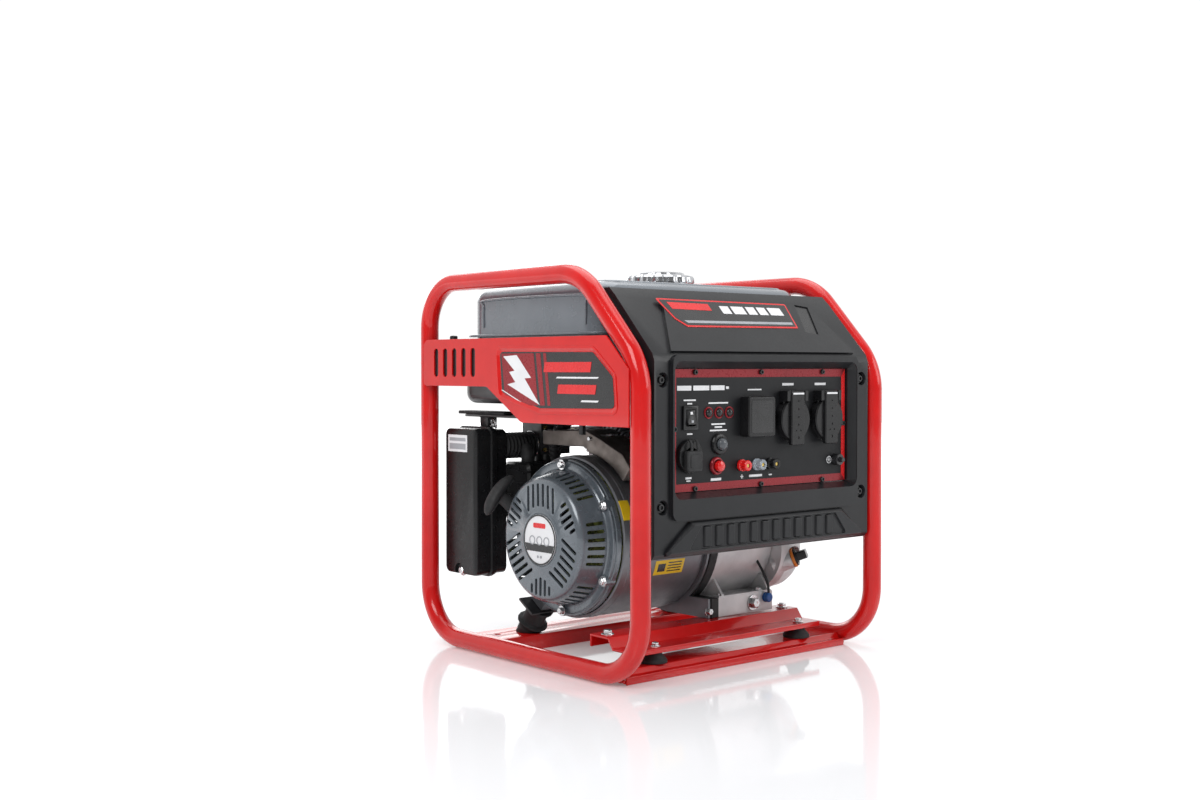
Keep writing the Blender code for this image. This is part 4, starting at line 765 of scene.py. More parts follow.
def build_switch_and_lamps():
    refined("engine_switch_housing", 0.0006)
    refined("engine_switch_rocker", 0.0005)
    tilt = Matrix.Translation((-0.1133, PLATE_Y, 0.2841)) @ Matrix.Rotation(math.radians(-10), 4, "X")
    for name, low, high, finish in (("switch_mark_on", 0.003, 0.006, "white_print"),
                                    ("switch_mark_off", -0.0058, -0.0032, "grey_print")):
        mark = prism(rectangle(around(0, 0.0016), (low, high)), "Y", -0.0037, -0.0042)
        mark.transform(tilt)
        piece(name, mark, finish, BODY_OF["engine_switch_rocker"])
    for index, x in enumerate((-0.0853, -0.0694, -0.0535)):
        at = (x, 0.289)
        dome = [(0.0004, 0), (0.0004, 0.0046), (0.0018, 0.0045), (0.0034, 0.0034), (0.0043, 0.0018),
                (0.0046, 0)]
        piece(f"lamp_{index}", plate_turned(at, dome, 32), "black_print")
        piece(f"lamp_ring_{index}", plate_turned(at, [(0.0001, 0.005), (0.0001, 0.0066), (0.0012, 0.0064),
                                                      (0.0016, 0.0057), (0.0012, 0.005)], 40, closed=True),
              "dark_red_print")


def build_buttons():
    bezel = [(0.0001, 0.0072), (0.0001, 0.0116), (0.0016, 0.0118), (0.0034, 0.0108), (0.004, 0.0092),
             (0.004, 0.0072)]
    piece("reset_bezel", plate_turned((-0.069, 0.2548), bezel, 48, closed=True), "black_plastic", edge=0.0003)
    boot = [(-0.005, 0), (-0.005, 0.0046), (0.0042, 0.0046), (0.0042, 0.0066), (0.0062, 0.0066),
            (0.008, 0.006), (0.0094, 0.0046), (0.0102, 0.0026), (0.0105, 0)]
    piece("reset_boot", plate_turned((-0.069, 0.2548), boot), "smoked_plastic", BODY_OF["reset_button"],
          "reset_button", edge=0.0003)
    collar = [(0.0001, 0.0072), (0.0001, 0.0098), (0.0018, 0.01), (0.0034, 0.0092), (0.004, 0.008),
              (0.004, 0.0072)]
    piece("breaker_collar", plate_turned((-0.0735, 0.231), collar, 48, closed=True), "dark_red_print",
          edge=0.0003)
    push = [(-0.005, 0), (-0.005, 0.0046), (0.0042, 0.0046), (0.0042, 0.006), (0.007, 0.006),
            (0.009, 0.0054), (0.0101, 0.0036), (0.0105, 0)]
    piece("breaker_push", plate_turned((-0.0735, 0.231), push), "red_plastic", BODY_OF["breaker_button"],
          "breaker_button", edge=0.0003)


def build_display():
    outline = rounded(rectangle(around(-0.014, 0.0215), around(0.2836, 0.0222)), 0.003, 6)
    inset = rounded(rectangle(around(-0.014, 0.0205), around(0.2836, 0.0212)), 0.0026, 6)
    block = loft([placed(outline, "Y", PLATE_Y - 0.0003), placed(outline, "Y", PLATE_Y - 0.0123),
                  placed(inset, "Y", PLATE_Y - 0.0135)])
    piece("hour_meter", block, "black_plastic", stands_for="display_box", edge=0.0006, edge_steps=3)
    screen = rounded(rectangle(around(-0.014, 0.0172), around(0.2836, 0.0178)), 0.002, 6)
    piece("hour_meter_glass", on_plate(screen, 0.0134, 0.0138), "black_print", edge=0.0002)


def build_sockets():
    for side, x in (("left", 0.0455), ("right", 0.1035)):
        at = (x, 0.279)
        profile = [(-0.01, 0), (-0.01, 0.021), (0.0003, 0.021), (0.0003, 0.025), (0.0015, 0.025),
                   (0.007, 0.0238), (0.007, 0.0195), (-0.008, 0.0195), (-0.008, 0)]
        base = plate_turned(at, profile, 72)
        lug = [(PLATE_Y - 0.0003, 0.291), (PLATE_Y - 0.0003, 0.3115), (PLATE_Y - 0.0125, 0.3115),
               (PLATE_Y - 0.0125, 0.3002), (PLATE_Y - 0.0065, 0.3002), (PLATE_Y - 0.0065, 0.291)]
        lugs = [prism(lug, "X", *around(x + offset, 0.0025)) for offset in (-0.015, 0.015)]
        piece(f"socket_body_{side}", worked(base, lugs), "black_plastic", stands_for=f"ac_socket_{side}",
              edge=0.0006)
        holes = [plate_turned((x + dx, 0.279), [(-0.008, 0), (-0.008, 0.0026), (-0.0075, 0.0026),
                                                (-0.0075, 0)], 24) for dx in (-0.0095, 0.0095)]
        piece(f"socket_holes_{side}", combined(holes), "black_print")

        lid_body = BODY_OF[f"ac_lid_{side}"]
        disc = plate_turned(at, [(0.0075, 0), (0.0075, 0.024), (0.0088, 0.024), (0.01, 0.0228), (0.01, 0)],
                            72)
        band_outer = rounded(rectangle(around(x, 0.0108), (0.25, 0.312)), 0.003, 6)
        band_inner = rounded(rectangle(around(x, 0.01), (0.2508, 0.3112)), 0.0025, 6)
        band = loft([placed(band_outer, "Y", PLATE_Y - 0.0078), placed(band_outer, "Y", PLATE_Y - 0.0123),
                     placed(band_inner, "Y", PLATE_Y - 0.0135)])
        dimples = [plate_turned((x + dx, z), [(0.0128, 0), (0.0128, radius), (0.0145, radius), (0.0145, 0)],
                                16) for dx, z, radius in ((0, 0.3, 0.0009), (0, 0.291, 0.0011),
                (0, 0.282, 0.0011), (0, 0.273, 0.0013), (-0.0038, 0.2665, 0.001), (0.0038, 0.2665, 0.001),
                (0, 0.2585, 0.0016))]
        piece(f"lid_{side}", worked(disc, [band], dimples), "black_plastic", lid_body, f"ac_lid_{side}",
              edge=0.0004)
        # A thin white strip near the top of each lid: a painted highlight.
        glint = on_plate(rectangle(around(x, 0.009), around(0.3085, 0.001)), 0.0134, 0.0138)
        piece(f"lid_painted_highlight_{side}", glint, "white_print", lid_body)

    profile = [(-0.01, 0), (-0.01, 0.014), (0.0003, 0.014), (0.0003, 0.0185), (0.0015, 0.0185),
               (0.005, 0.0172), (0.005, 0.0095), (-0.008, 0.0095), (-0.008, 0)]
    piece("dc_outlet", plate_turned((-0.115, 0.243), profile, 64), "black_plastic", stands_for="dc_socket",
          edge=0.0005)
    cap = rounded(rectangle(around(-0.115, 0.0113), around(0.238, 0.0113)), 0.0032, 6)
    cap_top = rounded(rectangle(around(-0.115, 0.0103), around(0.238, 0.0103)), 0.0028, 6)
    cap_solid = loft([placed(cap, "Y", PLATE_Y - 0.0053), placed(cap, "Y", PLATE_Y - 0.0098),
                      placed(cap_top, "Y", PLATE_Y - 0.011)])
    straps = []
    for offset in (-0.0045, 0.0045):
        line = [(-0.115 + offset, PLATE_Y - 0.0085, 0.246), (-0.115 + offset, PLATE_Y - 0.01, 0.252),
                (-0.115 + offset, PLATE_Y - 0.0088, 0.258), (-0.115 + offset, PLATE_Y - 0.0068, 0.2606)]
        straps.append(swept(eased(line, 6), 0.0015, 12))
    piece("dc_cap", cap_solid, "rubber", BODY_OF["dc_socket_cap"], "dc_socket_cap", edge=0.0005)
    piece("dc_cap_straps", combined(straps), "rubber", BODY_OF["dc_socket_cap"])
    ridge = on_plate(rounded(rectangle(around(-0.115, 0.007), around(0.238, 0.007)), 0.002, 5), 0.0109,
                     0.0116)
    piece("dc_cap_ridge", ridge, "rubber", BODY_OF["dc_socket_cap"], edge=0.0003)


def build_posts():
    for name, x, finish in (("red", -0.0345, "red_plastic"), ("clear", -0.0105, "clear_plastic"),
                            ("black", 0.0115, "black_plastic")):
        at = (x, 0.23)
        profile = [(0.0003, 0.0029), (0.0003, 0.0062), (0.0008, 0.0066), (0.0036, 0.0066), (0.0042, 0.0056),
                   (0.005, 0.0056), (0.011, 0.0061), (0.012, 0.0055), (0.012, 0.0029)]
        knob = plate_turned(at, profile, 96, closed=True, lobes=14, lobe_depth=0.0008,
                            lobe_span=(0.0049, 0.0125))
        piece(f"{name}_knob", knob, finish, BODY_OF[f"{name}_post_knob"], f"{name}_post_knob", smooth=30)
        stud = [(0.0002, 0), (0.0002, 0.0026), (0.0104, 0.0026), (0.011, 0.002), (0.011, 0)]
        piece(f"{name}_stud", plate_turned(at, stud, 32), "brass")
    nut = [(0.0003, 0.0032), (0.0003, 0.0064), (0.0009, 0.0068), (0.0079, 0.0068), (0.0085, 0.0062),
           (0.0085, 0.0032)]
    knurled = plate_turned((0.124, 0.2302), nut, 144, closed=True, lobes=24, lobe_depth=0.0006,
                           lobe_span=(0.0008, 0.008))
    piece("earth_nut", knurled, "black_steel", BODY_OF["ground_nut"], "ground_nut", smooth=30)
    stud = [(0.0002, 0), (0.0002, 0.0029), (0.0128, 0.0029), (0.0135, 0.0022), (0.0135, 0)]
    piece("earth_stud", plate_turned((0.124, 0.2302), stud, 32), "black_steel")


# Engine and generator

def crank_turned(profile, segments=96, **extra):
    return turned(CRANK, (1, 0, 0), profile, segments, **extra)


def about_crank(angle):
    """Turns a piece modelled above the crank line to an angle counted from the top towards the front."""
    return Matrix.Translation(CRANK) @ Matrix.Rotation(math.radians(angle), 4, "X")


def crank_point(angle, radius, x):
    return about_crank(angle) @ Vector((x, 0, radius))


def slot_block(shift, span, depth, half=0.0021):
    """A slot with rounded ends, modelled straight above the crank line."""
    return prism(rounded(rectangle(around(shift, half), span), half * 0.92, 5), "X", *depth)


def recoil_cutters():
    cutters = []
    for spoke in (0, 120, 240):
        groups = ((spoke, 6, 0.009, lambda s: math.sqrt(0.038**2 - s * s)),
                  (spoke + 60, 5, 0.008, lambda s: 0.043 + 33 * s * s))
        for angle, count, pitch, start in groups:
            for step in range(count):
                shift = (step - (count - 1) / 2) * pitch
                slot = slot_block(shift, (start(shift), math.sqrt(0.0645**2 - shift**2)), (-0.185, -0.16))
                slot.transform(about_crank(angle))
                cutters.append(slot)
    for group in range(6):
        for step in range(6):
            vent = prism(rounded(rectangle((-0.1632, -0.1412), around(0, 0.002)), 0.0018, 5), "Z", 0.0665,
                         0.09)
            vent.transform(about_crank(30 + 60 * group + (step - 2.5) * 7))
            cutters.append(vent)
    return cutters


def build_recoil():
    profile = [(FACE_X + 0.0003, 0), (FACE_X + 0.0003, 0.03), (FACE_X - 0.0004, 0.031),
               (FACE_X - 0.0004, 0.033), (FACE_X + 0.0003, 0.0342), (FACE_X, 0.064), (-0.172, 0.0672),
               (-0.1698, 0.07), (-0.167, 0.0716), (-0.14, 0.0786), (-0.1388, 0.08), (-0.1384, 0.0852),
               (-0.139, 0.0868), (-0.1385, 0.0884), (-0.136, 0.0886), (-0.135, 0.0905), (-0.129, 0.0905),
               (-0.1278, 0.0895), (-0.1278, 0.079), (-0.136, 0.0775), (-0.1665, 0.069), (-0.17, 0.065),
               (-0.17, 0.009), (-0.15, 0.009), (-0.15, 0)]
    cover = crank_turned(profile, 120)
    guide = Vector((-0.15, 0.061, 0.1655))
    pull = Vector((-0.7, 0.25, 0.65)).normalized()
    spout = turned(guide, pull, [(-0.006, 0), (-0.006, 0.0105), (0.01, 0.0092), (0.014, 0.0084), (0.014, 0)],
                   32)
    bosses = []
    for angle in (0, 60, 120, 180, 240, 300):
        boss = turned((-0.141, 0, 0.0845), (1, 0, 0), [(-0.0005, 0), (-0.0005, 0.0062), (0.012, 0.007),
                                                       (0.012, 0)], 28)
        boss.transform(about_crank(angle))
        bosses.append(boss)
    finished = worked(cover, [spout, *bosses], recoil_cutters())
    piece("recoil_housing", finished, "blue_grey_paint", stands_for="recoil_cover", edge=0.0005)
    for index, angle in enumerate((0, 60, 120, 180, 240, 300)):
        bolt(f"recoil_bolt_{index}", crank_point(angle, 0.0845, -0.1414), (-1, 0, 0), 0.004)
    flange = crank_turned([(-0.1385, 0.0868), (-0.1398, 0.088), (-0.1385, 0.0895), (-0.136, 0.0895),
                           (-0.136, 0.0868)], 120, closed=True)
    cutters = []
    for angle in (0, 60, 120, 180, 240, 300):
        block = prism(rectangle((-0.145, -0.13), around(0, 0.0085)), "Z", 0.08, 0.095)
        block.transform(about_crank(angle))
        cutters.append(block)
    piece("recoil_rim", worked(flange, [], cutters), "blue_grey_paint", edge=0.0005)

    disc = [(FACE_X - 0.0013, 0), (FACE_X - 0.0013, 0.0284), (FACE_X - 0.0011, 0.029),
            (FACE_X - 0.0001, 0.029), (FACE_X - 0.0001, 0)]
    piece("badge_disc", crank_turned(disc, 96), "white_print")
    face = FACE_X - 0.0014
    piece("badge_ring", ring(CRANK, (1, 0, 0), face - 0.0003, face + 0.0002, 0.029, 0.0272, 96),
          "black_print")
    low = CRANK.z - 0.0135
    reach = math.sqrt(0.0268**2 - 0.0135**2)
    top_reach = math.sqrt(0.0268**2 - 0.005**2)
    outline = ([Vector((CRANK.y - top_reach, CRANK.z - 0.005))] + [Vector((CRANK.y - reach, low))]
               + [Vector((CRANK.y + reach, low))] + [Vector((CRANK.y + top_reach, CRANK.z - 0.005))])
    piece("badge_band", prism(outline, "X", face - 0.0003, face + 0.0002), "black_print")
    plate = rounded(rectangle(around(CRANK.y, 0.011), (CRANK.z + 0.0135, CRANK.z + 0.019)), 0.0015, 5)
    piece("badge_tab", prism(plate, "X", face - 0.0003, face + 0.0002), "bright_red_print")
    rings = [ring(CRANK + Vector((face, shift, -0.001)), (1, 0, 0), -0.0004, 0.0002, 0.0052, 0.0041, 40)
             for shift in (-0.013, 0, 0.013)]
    piece("badge_rings", combined(rings), "grey_print")
    dots = [rod(CRANK + Vector((face, shift, -0.0195)), (1, 0, 0), -0.0003, 0.0002, 0.0016, 20)
            for shift in (-0.0028, 0.0028)]
    piece("badge_dots", combined(dots), "grey_print")
    build_handle(guide, pull)
    build_pulley_and_fan()


def build_handle(guide, pull):
    """The pull handle: a waisted neck under a bowed grip."""
    body = BODY_OF["recoil_handle"]
    along = Vector((0.693, 0.074, 0.718)).normalized()
    grip_at = guide + pull * ((-0.1768 - guide.x) / pull.x)
    reach = (grip_at - guide).length
    neck = turned(guide, pull, [(0.0143, 0), (0.0143, 0.0078), (0.0155, 0.0088), (0.0185, 0.008),
                                (reach - 0.006, 0.0076), (reach, 0.0086), (reach, 0)], 32)
    sections = []
    side = along.cross(pull).normalized()
    for step in range(25):
        t = step / 24 * 2 - 1
        centre = grip_at + along * 0.03 * t - pull * 0.0045 * t * t
        width = 0.0108 * math.sqrt(max(1 - abs(t) ** 3.2, 0.03))
        depth = 0.0072 * math.sqrt(max(1 - abs(t) ** 3.2, 0.03))
        sections.append([centre + side * width * math.cos(a) + pull * depth * math.sin(a)
                         for a in (2 * math.pi * k / 28 for k in range(28))])
    piece("pull_handle", worked(loft(sections), [neck]), "rubber", body, "recoil_handle", smooth=50)


def build_pulley_and_fan():
    body = BODY_OF["recoil_pulley"]
    sheave = [(-0.167, 0.0095), (-0.167, 0.0412), (-0.1662, 0.042), (-0.1648, 0.042), (-0.1632, 0.0362),
              (-0.1568, 0.0362), (-0.1552, 0.042), (-0.1538, 0.042), (-0.153, 0.0412), (-0.153, 0.0095)]
    piece("starter_sheave", crank_turned(sheave, 96, closed=True), "black_plastic", body, "recoil_pulley")
    turns = [CRANK + Vector((-0.1625 + 0.0026 * (step / 48) / 2.0, 0.0385 * math.cos(step * math.pi / 24),
                             0.0385 * math.sin(step * math.pi / 24))) for step in range(97)]
    piece("starter_rope", swept(turns, 0.0015, 10), "rubber", body)

    crank = BODY_OF["cooling_fan"]
    disc = crank_turned([(-0.1, 0.015), (-0.1, 0.0755), (-0.0995, 0.076), (-0.0953, 0.076),
                         (-0.0953, 0.015)], 96, closed=True)
    blades = []
    for step in range(16):
        angle = 360 * step / 16
        sections = []
        for part in range(9):
            t = part / 8
            radius = 0.027 + 0.044 * t
            sweep = math.radians(angle + 26 * t)
            centre = Vector((0, -radius * math.sin(sweep), radius * math.cos(sweep)))
            across = Vector((0, -math.cos(sweep), -math.sin(sweep))) * (0.0014 - 0.0005 * t)
            height = 0.0205 - 0.004 * (1 - t)
            low, high = Vector((-0.099, 0, 0)), Vector((-0.099 - height, 0, 0))
            base = CRANK + centre
            sections.append([base + low + across, base + low - across, base + high - across * 0.7,
                             base + high + across * 0.7])
        blades.append(loft(sections))
    piece("fan_disc", disc, "fan_plastic", crank, "cooling_fan", edge=0.0004)
    piece("fan_blades", combined(blades), "fan_plastic", crank, edge=0.0003)
    cup = crank_turned([(-0.1325, 0.006), (-0.1325, 0.023), (-0.131, 0.0245), (-0.1225, 0.026),
                        (-0.1225, 0.006)], 64, closed=True)
    piece("starter_cup", cup, "zinc", crank, edge=0.0004)


def case_outline(margin):
    radius = 0.098 + margin
    start = math.degrees(math.asin((CRANK.z - 0.067) / radius)) + 180
    outline = arc((CRANK.y, CRANK.z), radius, start, -65, 60)
    front = -0.1035 - margin
    return outline + [Vector((-0.03, 0.0443)), Vector((front, 0.0443)), Vector((front, 0.067))]


def lean_direction():
    return Vector((0, math.cos(CYLINDER_LEAN), math.sin(CYLINDER_LEAN)))


def lean_place():
    return (Matrix.Translation((CYLINDER_X, CRANK.y, CRANK.z)) @ Matrix.Rotation(CYLINDER_LEAN - math.pi / 2,
            4, "X"))


def lean_block(half_x, half_across, start, end, shift=0.0, corner=0.003):
    block = prism(rounded(rectangle(around(0, half_x), around(shift, half_across)), corner, 5), "Z", start,
                  end)
    block.transform(lean_place())
    return block


def build_drum():
    shell = [(-0.1275, 0.092), (-0.1265, 0.094), (-0.118, 0.094), (-0.1172, 0.0946), (-0.112, 0.0946),
             (-0.1112, 0.094), (-0.0055, 0.094), (-0.0012, 0.093), (0.003, 0.0902), (0.0045, 0.088),
             (0.0045, 0.016), (-0.029, 0.016), (-0.029, 0.03), (0.0005, 0.03), (0.0005, 0.084),
             (-0.01, 0.091), (-0.1275, 0.091)]
    along = Vector((-math.sin(math.radians(33)), math.cos(math.radians(33))))
    across = Vector((along.y, -along.x))
    foot = Vector((0.084, 0.018))
    pad_outline = [foot + along * a + across * b for a, b in ((0.0436, -0.012), (0.0436, 0.012),
            (0.06, 0.012), (0.06, -0.012))]
    pad = prism(pad_outline, "X", -0.1265, -0.098)
    flange = prism(case_outline(-0.0004), "X", 0.0009, 0.0045)
    drum = worked(crank_turned(shell, 144, closed=True), [pad, flange],
                  [rod(CRANK, (1, 0, 0), 0.0006, 0.02, 0.017, 64)])
    piece("alternator_drum", drum, "grey_cast", stands_for="drum_housing", edge=0.0006, smooth=30)
    for index, angle in enumerate((28, 100, 152, 215, 262, 330)):
        lug = turned((-0.0085, 0, 0.0905), (1, 0, 0), [(-0.004, 0), (-0.004, 0.004), (0.006, 0.0048),
                                                       (0.012, 0.0048), (0.012, 0)], 24)
        lug.transform(about_crank(angle))
        piece(f"drum_lug_{index}", lug, "grey_cast", edge=0.0004)
        bolt(f"drum_bolt_{index}", crank_point(angle, 0.0905, -0.0126), (-1, 0, 0), 0.003, washer=False)

    def on_drum(name, x_range, angles, lift, finish):
        """A thin label that follows the drum."""
        def strip(radius, first, last):
            swing = [math.radians(first + (last - first) * k / 12) for k in range(13)]
            return [CRANK.yz + Vector((-math.sin(a), math.cos(a))) * radius for a in swing]

        outline = strip(0.094 + lift, *angles) + strip(0.0938, angles[1], angles[0])
        piece(name, prism(outline, "X", *x_range), finish)

    on_drum("drum_label", (-0.077, -0.032), (104.5, 115.5), 0.0003, "yellow_print")
    on_drum("drum_label_mark", (-0.0725, -0.061), (107, 113), 0.0005, "black_print")
    for index, angle in enumerate((106.3, 108.4, 110.5, 112.6)):
        on_drum(f"drum_label_line_{index}", (-0.057, -0.036), (angle, angle + 0.8), 0.0005, "black_print")
    on_drum("drum_label_upper", (-0.126, -0.113), (60, 74), 0.0009, "yellow_print")
    refined("stator", 0.0008)
    refined("flywheel_rotor", 0.0008)
    refined("crankshaft", 0.0005)


def build_crankcase():
    gasket = worked(prism(case_outline(0.0014), "X", 0.0049, 0.0169), [],
                    [rod(CRANK, (1, 0, 0), 0.0, 0.03, 0.05)])
    piece("case_joint", gasket, "rubber", stands_for="case_gasket", edge=0.0014, edge_steps=3)
    case = prism(case_outline(0), "X", 0.0173, 0.11)
    pad_along = Vector((-math.sin(math.radians(33)), math.cos(math.radians(33))))
    across = Vector((pad_along.y, -pad_along.x))
    foot = Vector((0.084, 0.018))
    pad = prism([foot + pad_along * a + across * b for a, b in ((0.0436, -0.012), (0.0436, 0.012),
            (0.076, 0.012), (0.076, -0.012))], "X", 0.03, 0.1)
    webs = [prism([(-0.103, 0.06), (-0.103, 0.07), (-0.083, 0.096), (-0.06, 0.096), (-0.06, 0.06)], "X", x,
                  x + 0.0035) for x in (0.023, 0.1015)]
    foot_edge = box((0.019, 0.1085), (-0.103, -0.093), (0.0655, 0.0685))
    cuts = [rod(CRANK, (1, 0, 0), 0.01, 0.095, 0.056), turned((CYLINDER_X, CRANK.y, CRANK.z),
            lean_direction(), [(0.04, 0), (0.04, 0.03), (0.11, 0.03), (0.11, 0)])]
    body = worked(case, [pad, lean_block(0.036, 0.034, 0.07, 0.0997), *webs, foot_edge], cuts)
    piece("engine_case", body, "silver_cast", stands_for="crankcase", edge=0.0012, edge_steps=3)
    bolt("drain_bolt", (0.076, -0.1038, 0.0555), (0, -1, 0), 0.0062)
    bolt("foot_bolt_left", (0.0255, -0.0985, 0.0684), (0, 0, 1), 0.0034, washer=False)
    bolt("foot_bolt_right", (0.09, -0.0985, 0.0684), (0, 0, 1), 0.0036)
    bolt("joint_bolt", (0.004, -0.101, 0.052), (0, -1, 0), 0.004)
    piece("oil_sensor_plug", turned((0.0985, -0.1036, 0.06), (0, -1, 0),
                                    [(0, 0), (0, 0.0062), (0.006, 0.0058), (0.0072, 0.0046), (0.0072, 0)],
                                    32), "blue_plastic", edge=0.0003)
    wire = eased([(0.0985, -0.1085, 0.064), (0.0975, -0.108, 0.076), (0.094, -0.104, 0.09),
                  (0.09, -0.096, 0.106), (0.088, -0.088, 0.125), (0.087, -0.08, 0.14)], 8)
    piece("oil_sensor_wire", swept(wire, 0.0016, 12), "rubber")

    cover = crank_turned([(0.1103, 0), (0.1103, 0.0655), (0.111, 0.066), (0.125, 0.066), (0.1285, 0.064),
                          (0.13, 0.06), (0.13, 0.03), (0.1282, 0.028), (0.1282, 0)], 96)
    filler = Vector((0.1095, -0.0861, 0.0916))
    spout = Vector((0.55, -0.75, 0.35)).normalized()
    tube = turned(filler, spout, [(0.015, 0), (0.015, 0.012), (0.034, 0.0122), (0.038, 0.0126),
                                  (0.04, 0.0122), (0.04, 0)], 48)
    lugs = []
    for angle in (20, 75, 160, 230, 300):
        lug = turned((0.1103, 0, 0.063), (1, 0, 0), [(0, 0), (0, 0.006), (0.016, 0.0055), (0.016, 0)], 24)
        lug.transform(about_crank(angle))
        lugs.append(lug)
    boss = turned((0, -0.063, 0.118), (1, 0, 0), [(0.1109, 0), (0.1109, 0.055), (0.124, 0.0556),
                                                  (0.1248, 0.0545), (0.144, 0.053), (0.149, 0.051),
                                                  (0.1515, 0.047), (0.152, 0.03), (0.1505, 0.028),
                                                  (0.1505, 0)], 96)
    bore = turned(filler, spout, [(0.016, 0), (0.016, 0.0068), (0.0401, 0.0068), (0.0401, 0.0128),
                                  (0.07, 0.0128), (0.07, 0)], 48)
    piece("side_cover_cast", worked(cover, [boss, tube, *lugs], [bore]), "silver_cast",
          stands_for="crankcase_cover", edge=0.0007, edge_steps=2)
    for index, angle in enumerate((20, 75, 160, 230, 300)):
        bolt(f"side_cover_bolt_{index}", crank_point(angle, 0.063, 0.1263), (1, 0, 0), 0.0034, washer=False)
    mouth = filler + spout * 0.0403
    body = BODY_OF["oil_dipstick"]
    seal = turned(mouth, spout, [(0.0001, 0.0056), (0.0001, 0.0114), (0.0008, 0.012), (0.003, 0.012),
                                 (0.0036, 0.0114), (0.0036, 0.0056)], 48, closed=True)
    piece("dipstick_seal", seal, "orange_rubber", body)
    head = turned(mouth, spout, [(-0.022, 0), (-0.022, 0.004), (0, 0.0055), (0.0037, 0.0055),
                                 (0.0037, 0.0108), (0.0058, 0.0108), (0.0058, 0.0085), (0.007, 0.008),
                                 (0.007, 0)], 48)
    turn = spout.to_track_quat("Z", "Y").to_matrix().to_4x4()
    lever = prism(rounded(rectangle((-0.0085, 0.0085), (-0.0052, 0.0052)), 0.0015, 5), "Z", 0.006, 0.0183)
    lever.transform(Matrix.Translation(mouth) @ turn)
    piece("dipstick_head", worked(head, [lever]), "black_plastic", body, "oil_dipstick", edge=0.0005)


def build_cylinder():
    fins = [lean_block(0.0378, 0.0358, 0.106 + 0.0062 * step, 0.106 + 0.0062 * step + 0.002)
            for step in range(8)]
    barrel = turned((CYLINDER_X, CRANK.y, CRANK.z), lean_direction(),
                    [(0.1, 0), (0.1, 0.034), (0.1546, 0.034), (0.1546, 0)], 64)
    cutter = turned((CYLINDER_X, CRANK.y, CRANK.z), lean_direction(),
                    [(0.09, 0), (0.09, 0.028), (0.165, 0.028), (0.165, 0)], 64)
    block = worked(barrel, [lean_block(0.037, 0.0355, 0.1, 0.104), *fins], [cutter])
    piece("finned_barrel", block, "grey_cast", stands_for="cylinder", edge=0.0004)
    fins = [lean_block(0.0372, 0.0352, 0.1575 + 0.006 * step, 0.1595 + 0.006 * step) for step in range(5)]
    port = rod((0, 0.127, 0.25), (1, 0, 0), -0.0347, 0.036, 0.013, 48)
    head = worked(lean_block(0.034, 0.032, 0.155, 0.185),
                  [port, *fins, lean_block(0.03, 0.022, 0.184, 0.199, -0.008, 0.006)])
    piece("finned_head", head, "silver_cast", stands_for="cylinder_head", edge=0.0006)
    for index, (u, v) in enumerate(((-0.025, -0.025), (0.025, -0.025), (-0.025, 0.009), (0.025, 0.009))):
        place = lean_place() @ Vector((u, v, 0.199))
        bolt(f"valve_cover_bolt_{index}", place, lean_direction(), 0.003, washer=False)
    refined("spark_plug_cap", 0.001, edge_steps=3)
    refined("piston", 0.0004)


# Intake, filter, exhaust and fuel

def build_air_filter():
    y_range, z_range = (0.111, 0.1822), (0.084, 0.266)
    body = BODY_OF["air_filter_cover"]

    def shell(inset, corner, x):
        return placed(rounded(rectangle((y_range[0] + inset, y_range[1] - inset),
                                        (z_range[0] + inset, z_range[1] - inset)), corner, 8), "X", x)

    outer = loft([shell(0, 0.01, -0.15), shell(0, 0.01, -0.1538), shell(0.0022, 0.009, -0.1548),
                  shell(0.0018, 0.009, -0.171), shell(0.0026, 0.008, -0.1742),
                  shell(0.0048, 0.007, -0.1755)])
    inner = loft([shell(0.0025, 0.008, -0.145), shell(0.005, 0.007, -0.1725)])
    notch = rod((0, 0.15, 0.0905), (1, 0, 0), -0.18, -0.169, 0.0088, 32)
    groove = box((-0.18, -0.1748), (0.1732, 0.1745), (0.093, 0.258))
    piece("filter_lid", worked(outer, [], [inner, notch, groove]), "black_plastic", body, "air_filter_cover",
          edge=0.0009, edge_steps=3)
    bolt("filter_latch", (-0.169, 0.15, 0.09), (-1, 0, 0), 0.0046, body=body)
    label = rounded(rectangle((0.1325, 0.1722), (0.2355, 0.256)), 0.0008, 3)
    piece("filter_label", prism(label, "X", -0.1754, -0.1759), "white_print", body)
    piece("filter_label_field", prism(rectangle((0.1355, 0.1692), (0.2385, 0.2455)), "X", -0.1758, -0.1761),
          "grey_print", body)
    piece("filter_label_line", prism(rectangle((0.1355, 0.1692), (0.2485, 0.2525)), "X", -0.1758, -0.1761),
          "grey_print", body)

    base = loft([shell(0.001, 0.01, -0.1497), shell(0.001, 0.01, -0.146), shell(0.003, 0.009, -0.145),
                 shell(0.003, 0.009, -0.1305), shell(0.0055, 0.007, -0.1285)])
    hollow = loft([shell(0.0045, 0.008, -0.155), shell(0.007, 0.007, -0.1315)])
    port = rod((0, 0.127, 0.238), (1, 0, 0), -0.14, -0.12, 0.011, 32)
    piece("filter_base", worked(base, [], [hollow, port]), "black_plastic", stands_for="air_filter_base",
          edge=0.0009, edge_steps=3)
    refined("air_filter_element", 0.0015)
    refined("filter_bracket", 0.0008)
    hook = eased([(-0.139, 0.123, 0.264), (-0.14, 0.123, 0.27), (-0.14, 0.1262, 0.2745),
                  (-0.14, 0.131, 0.2745), (-0.14, 0.131, 0.269)], 6)
    piece("bracket_hook", swept(hook, 0.0014, 14), "zinc")
    piece("bracket_pad", box((-0.1485, -0.1275), (0.096, 0.19), (0.2806, 0.2846)), "rubber", edge=0.0015,
          edge_steps=4)
    bolt("bracket_nut", (-0.139, 0.128, 0.2664), (0, 0, 1), 0.0034)


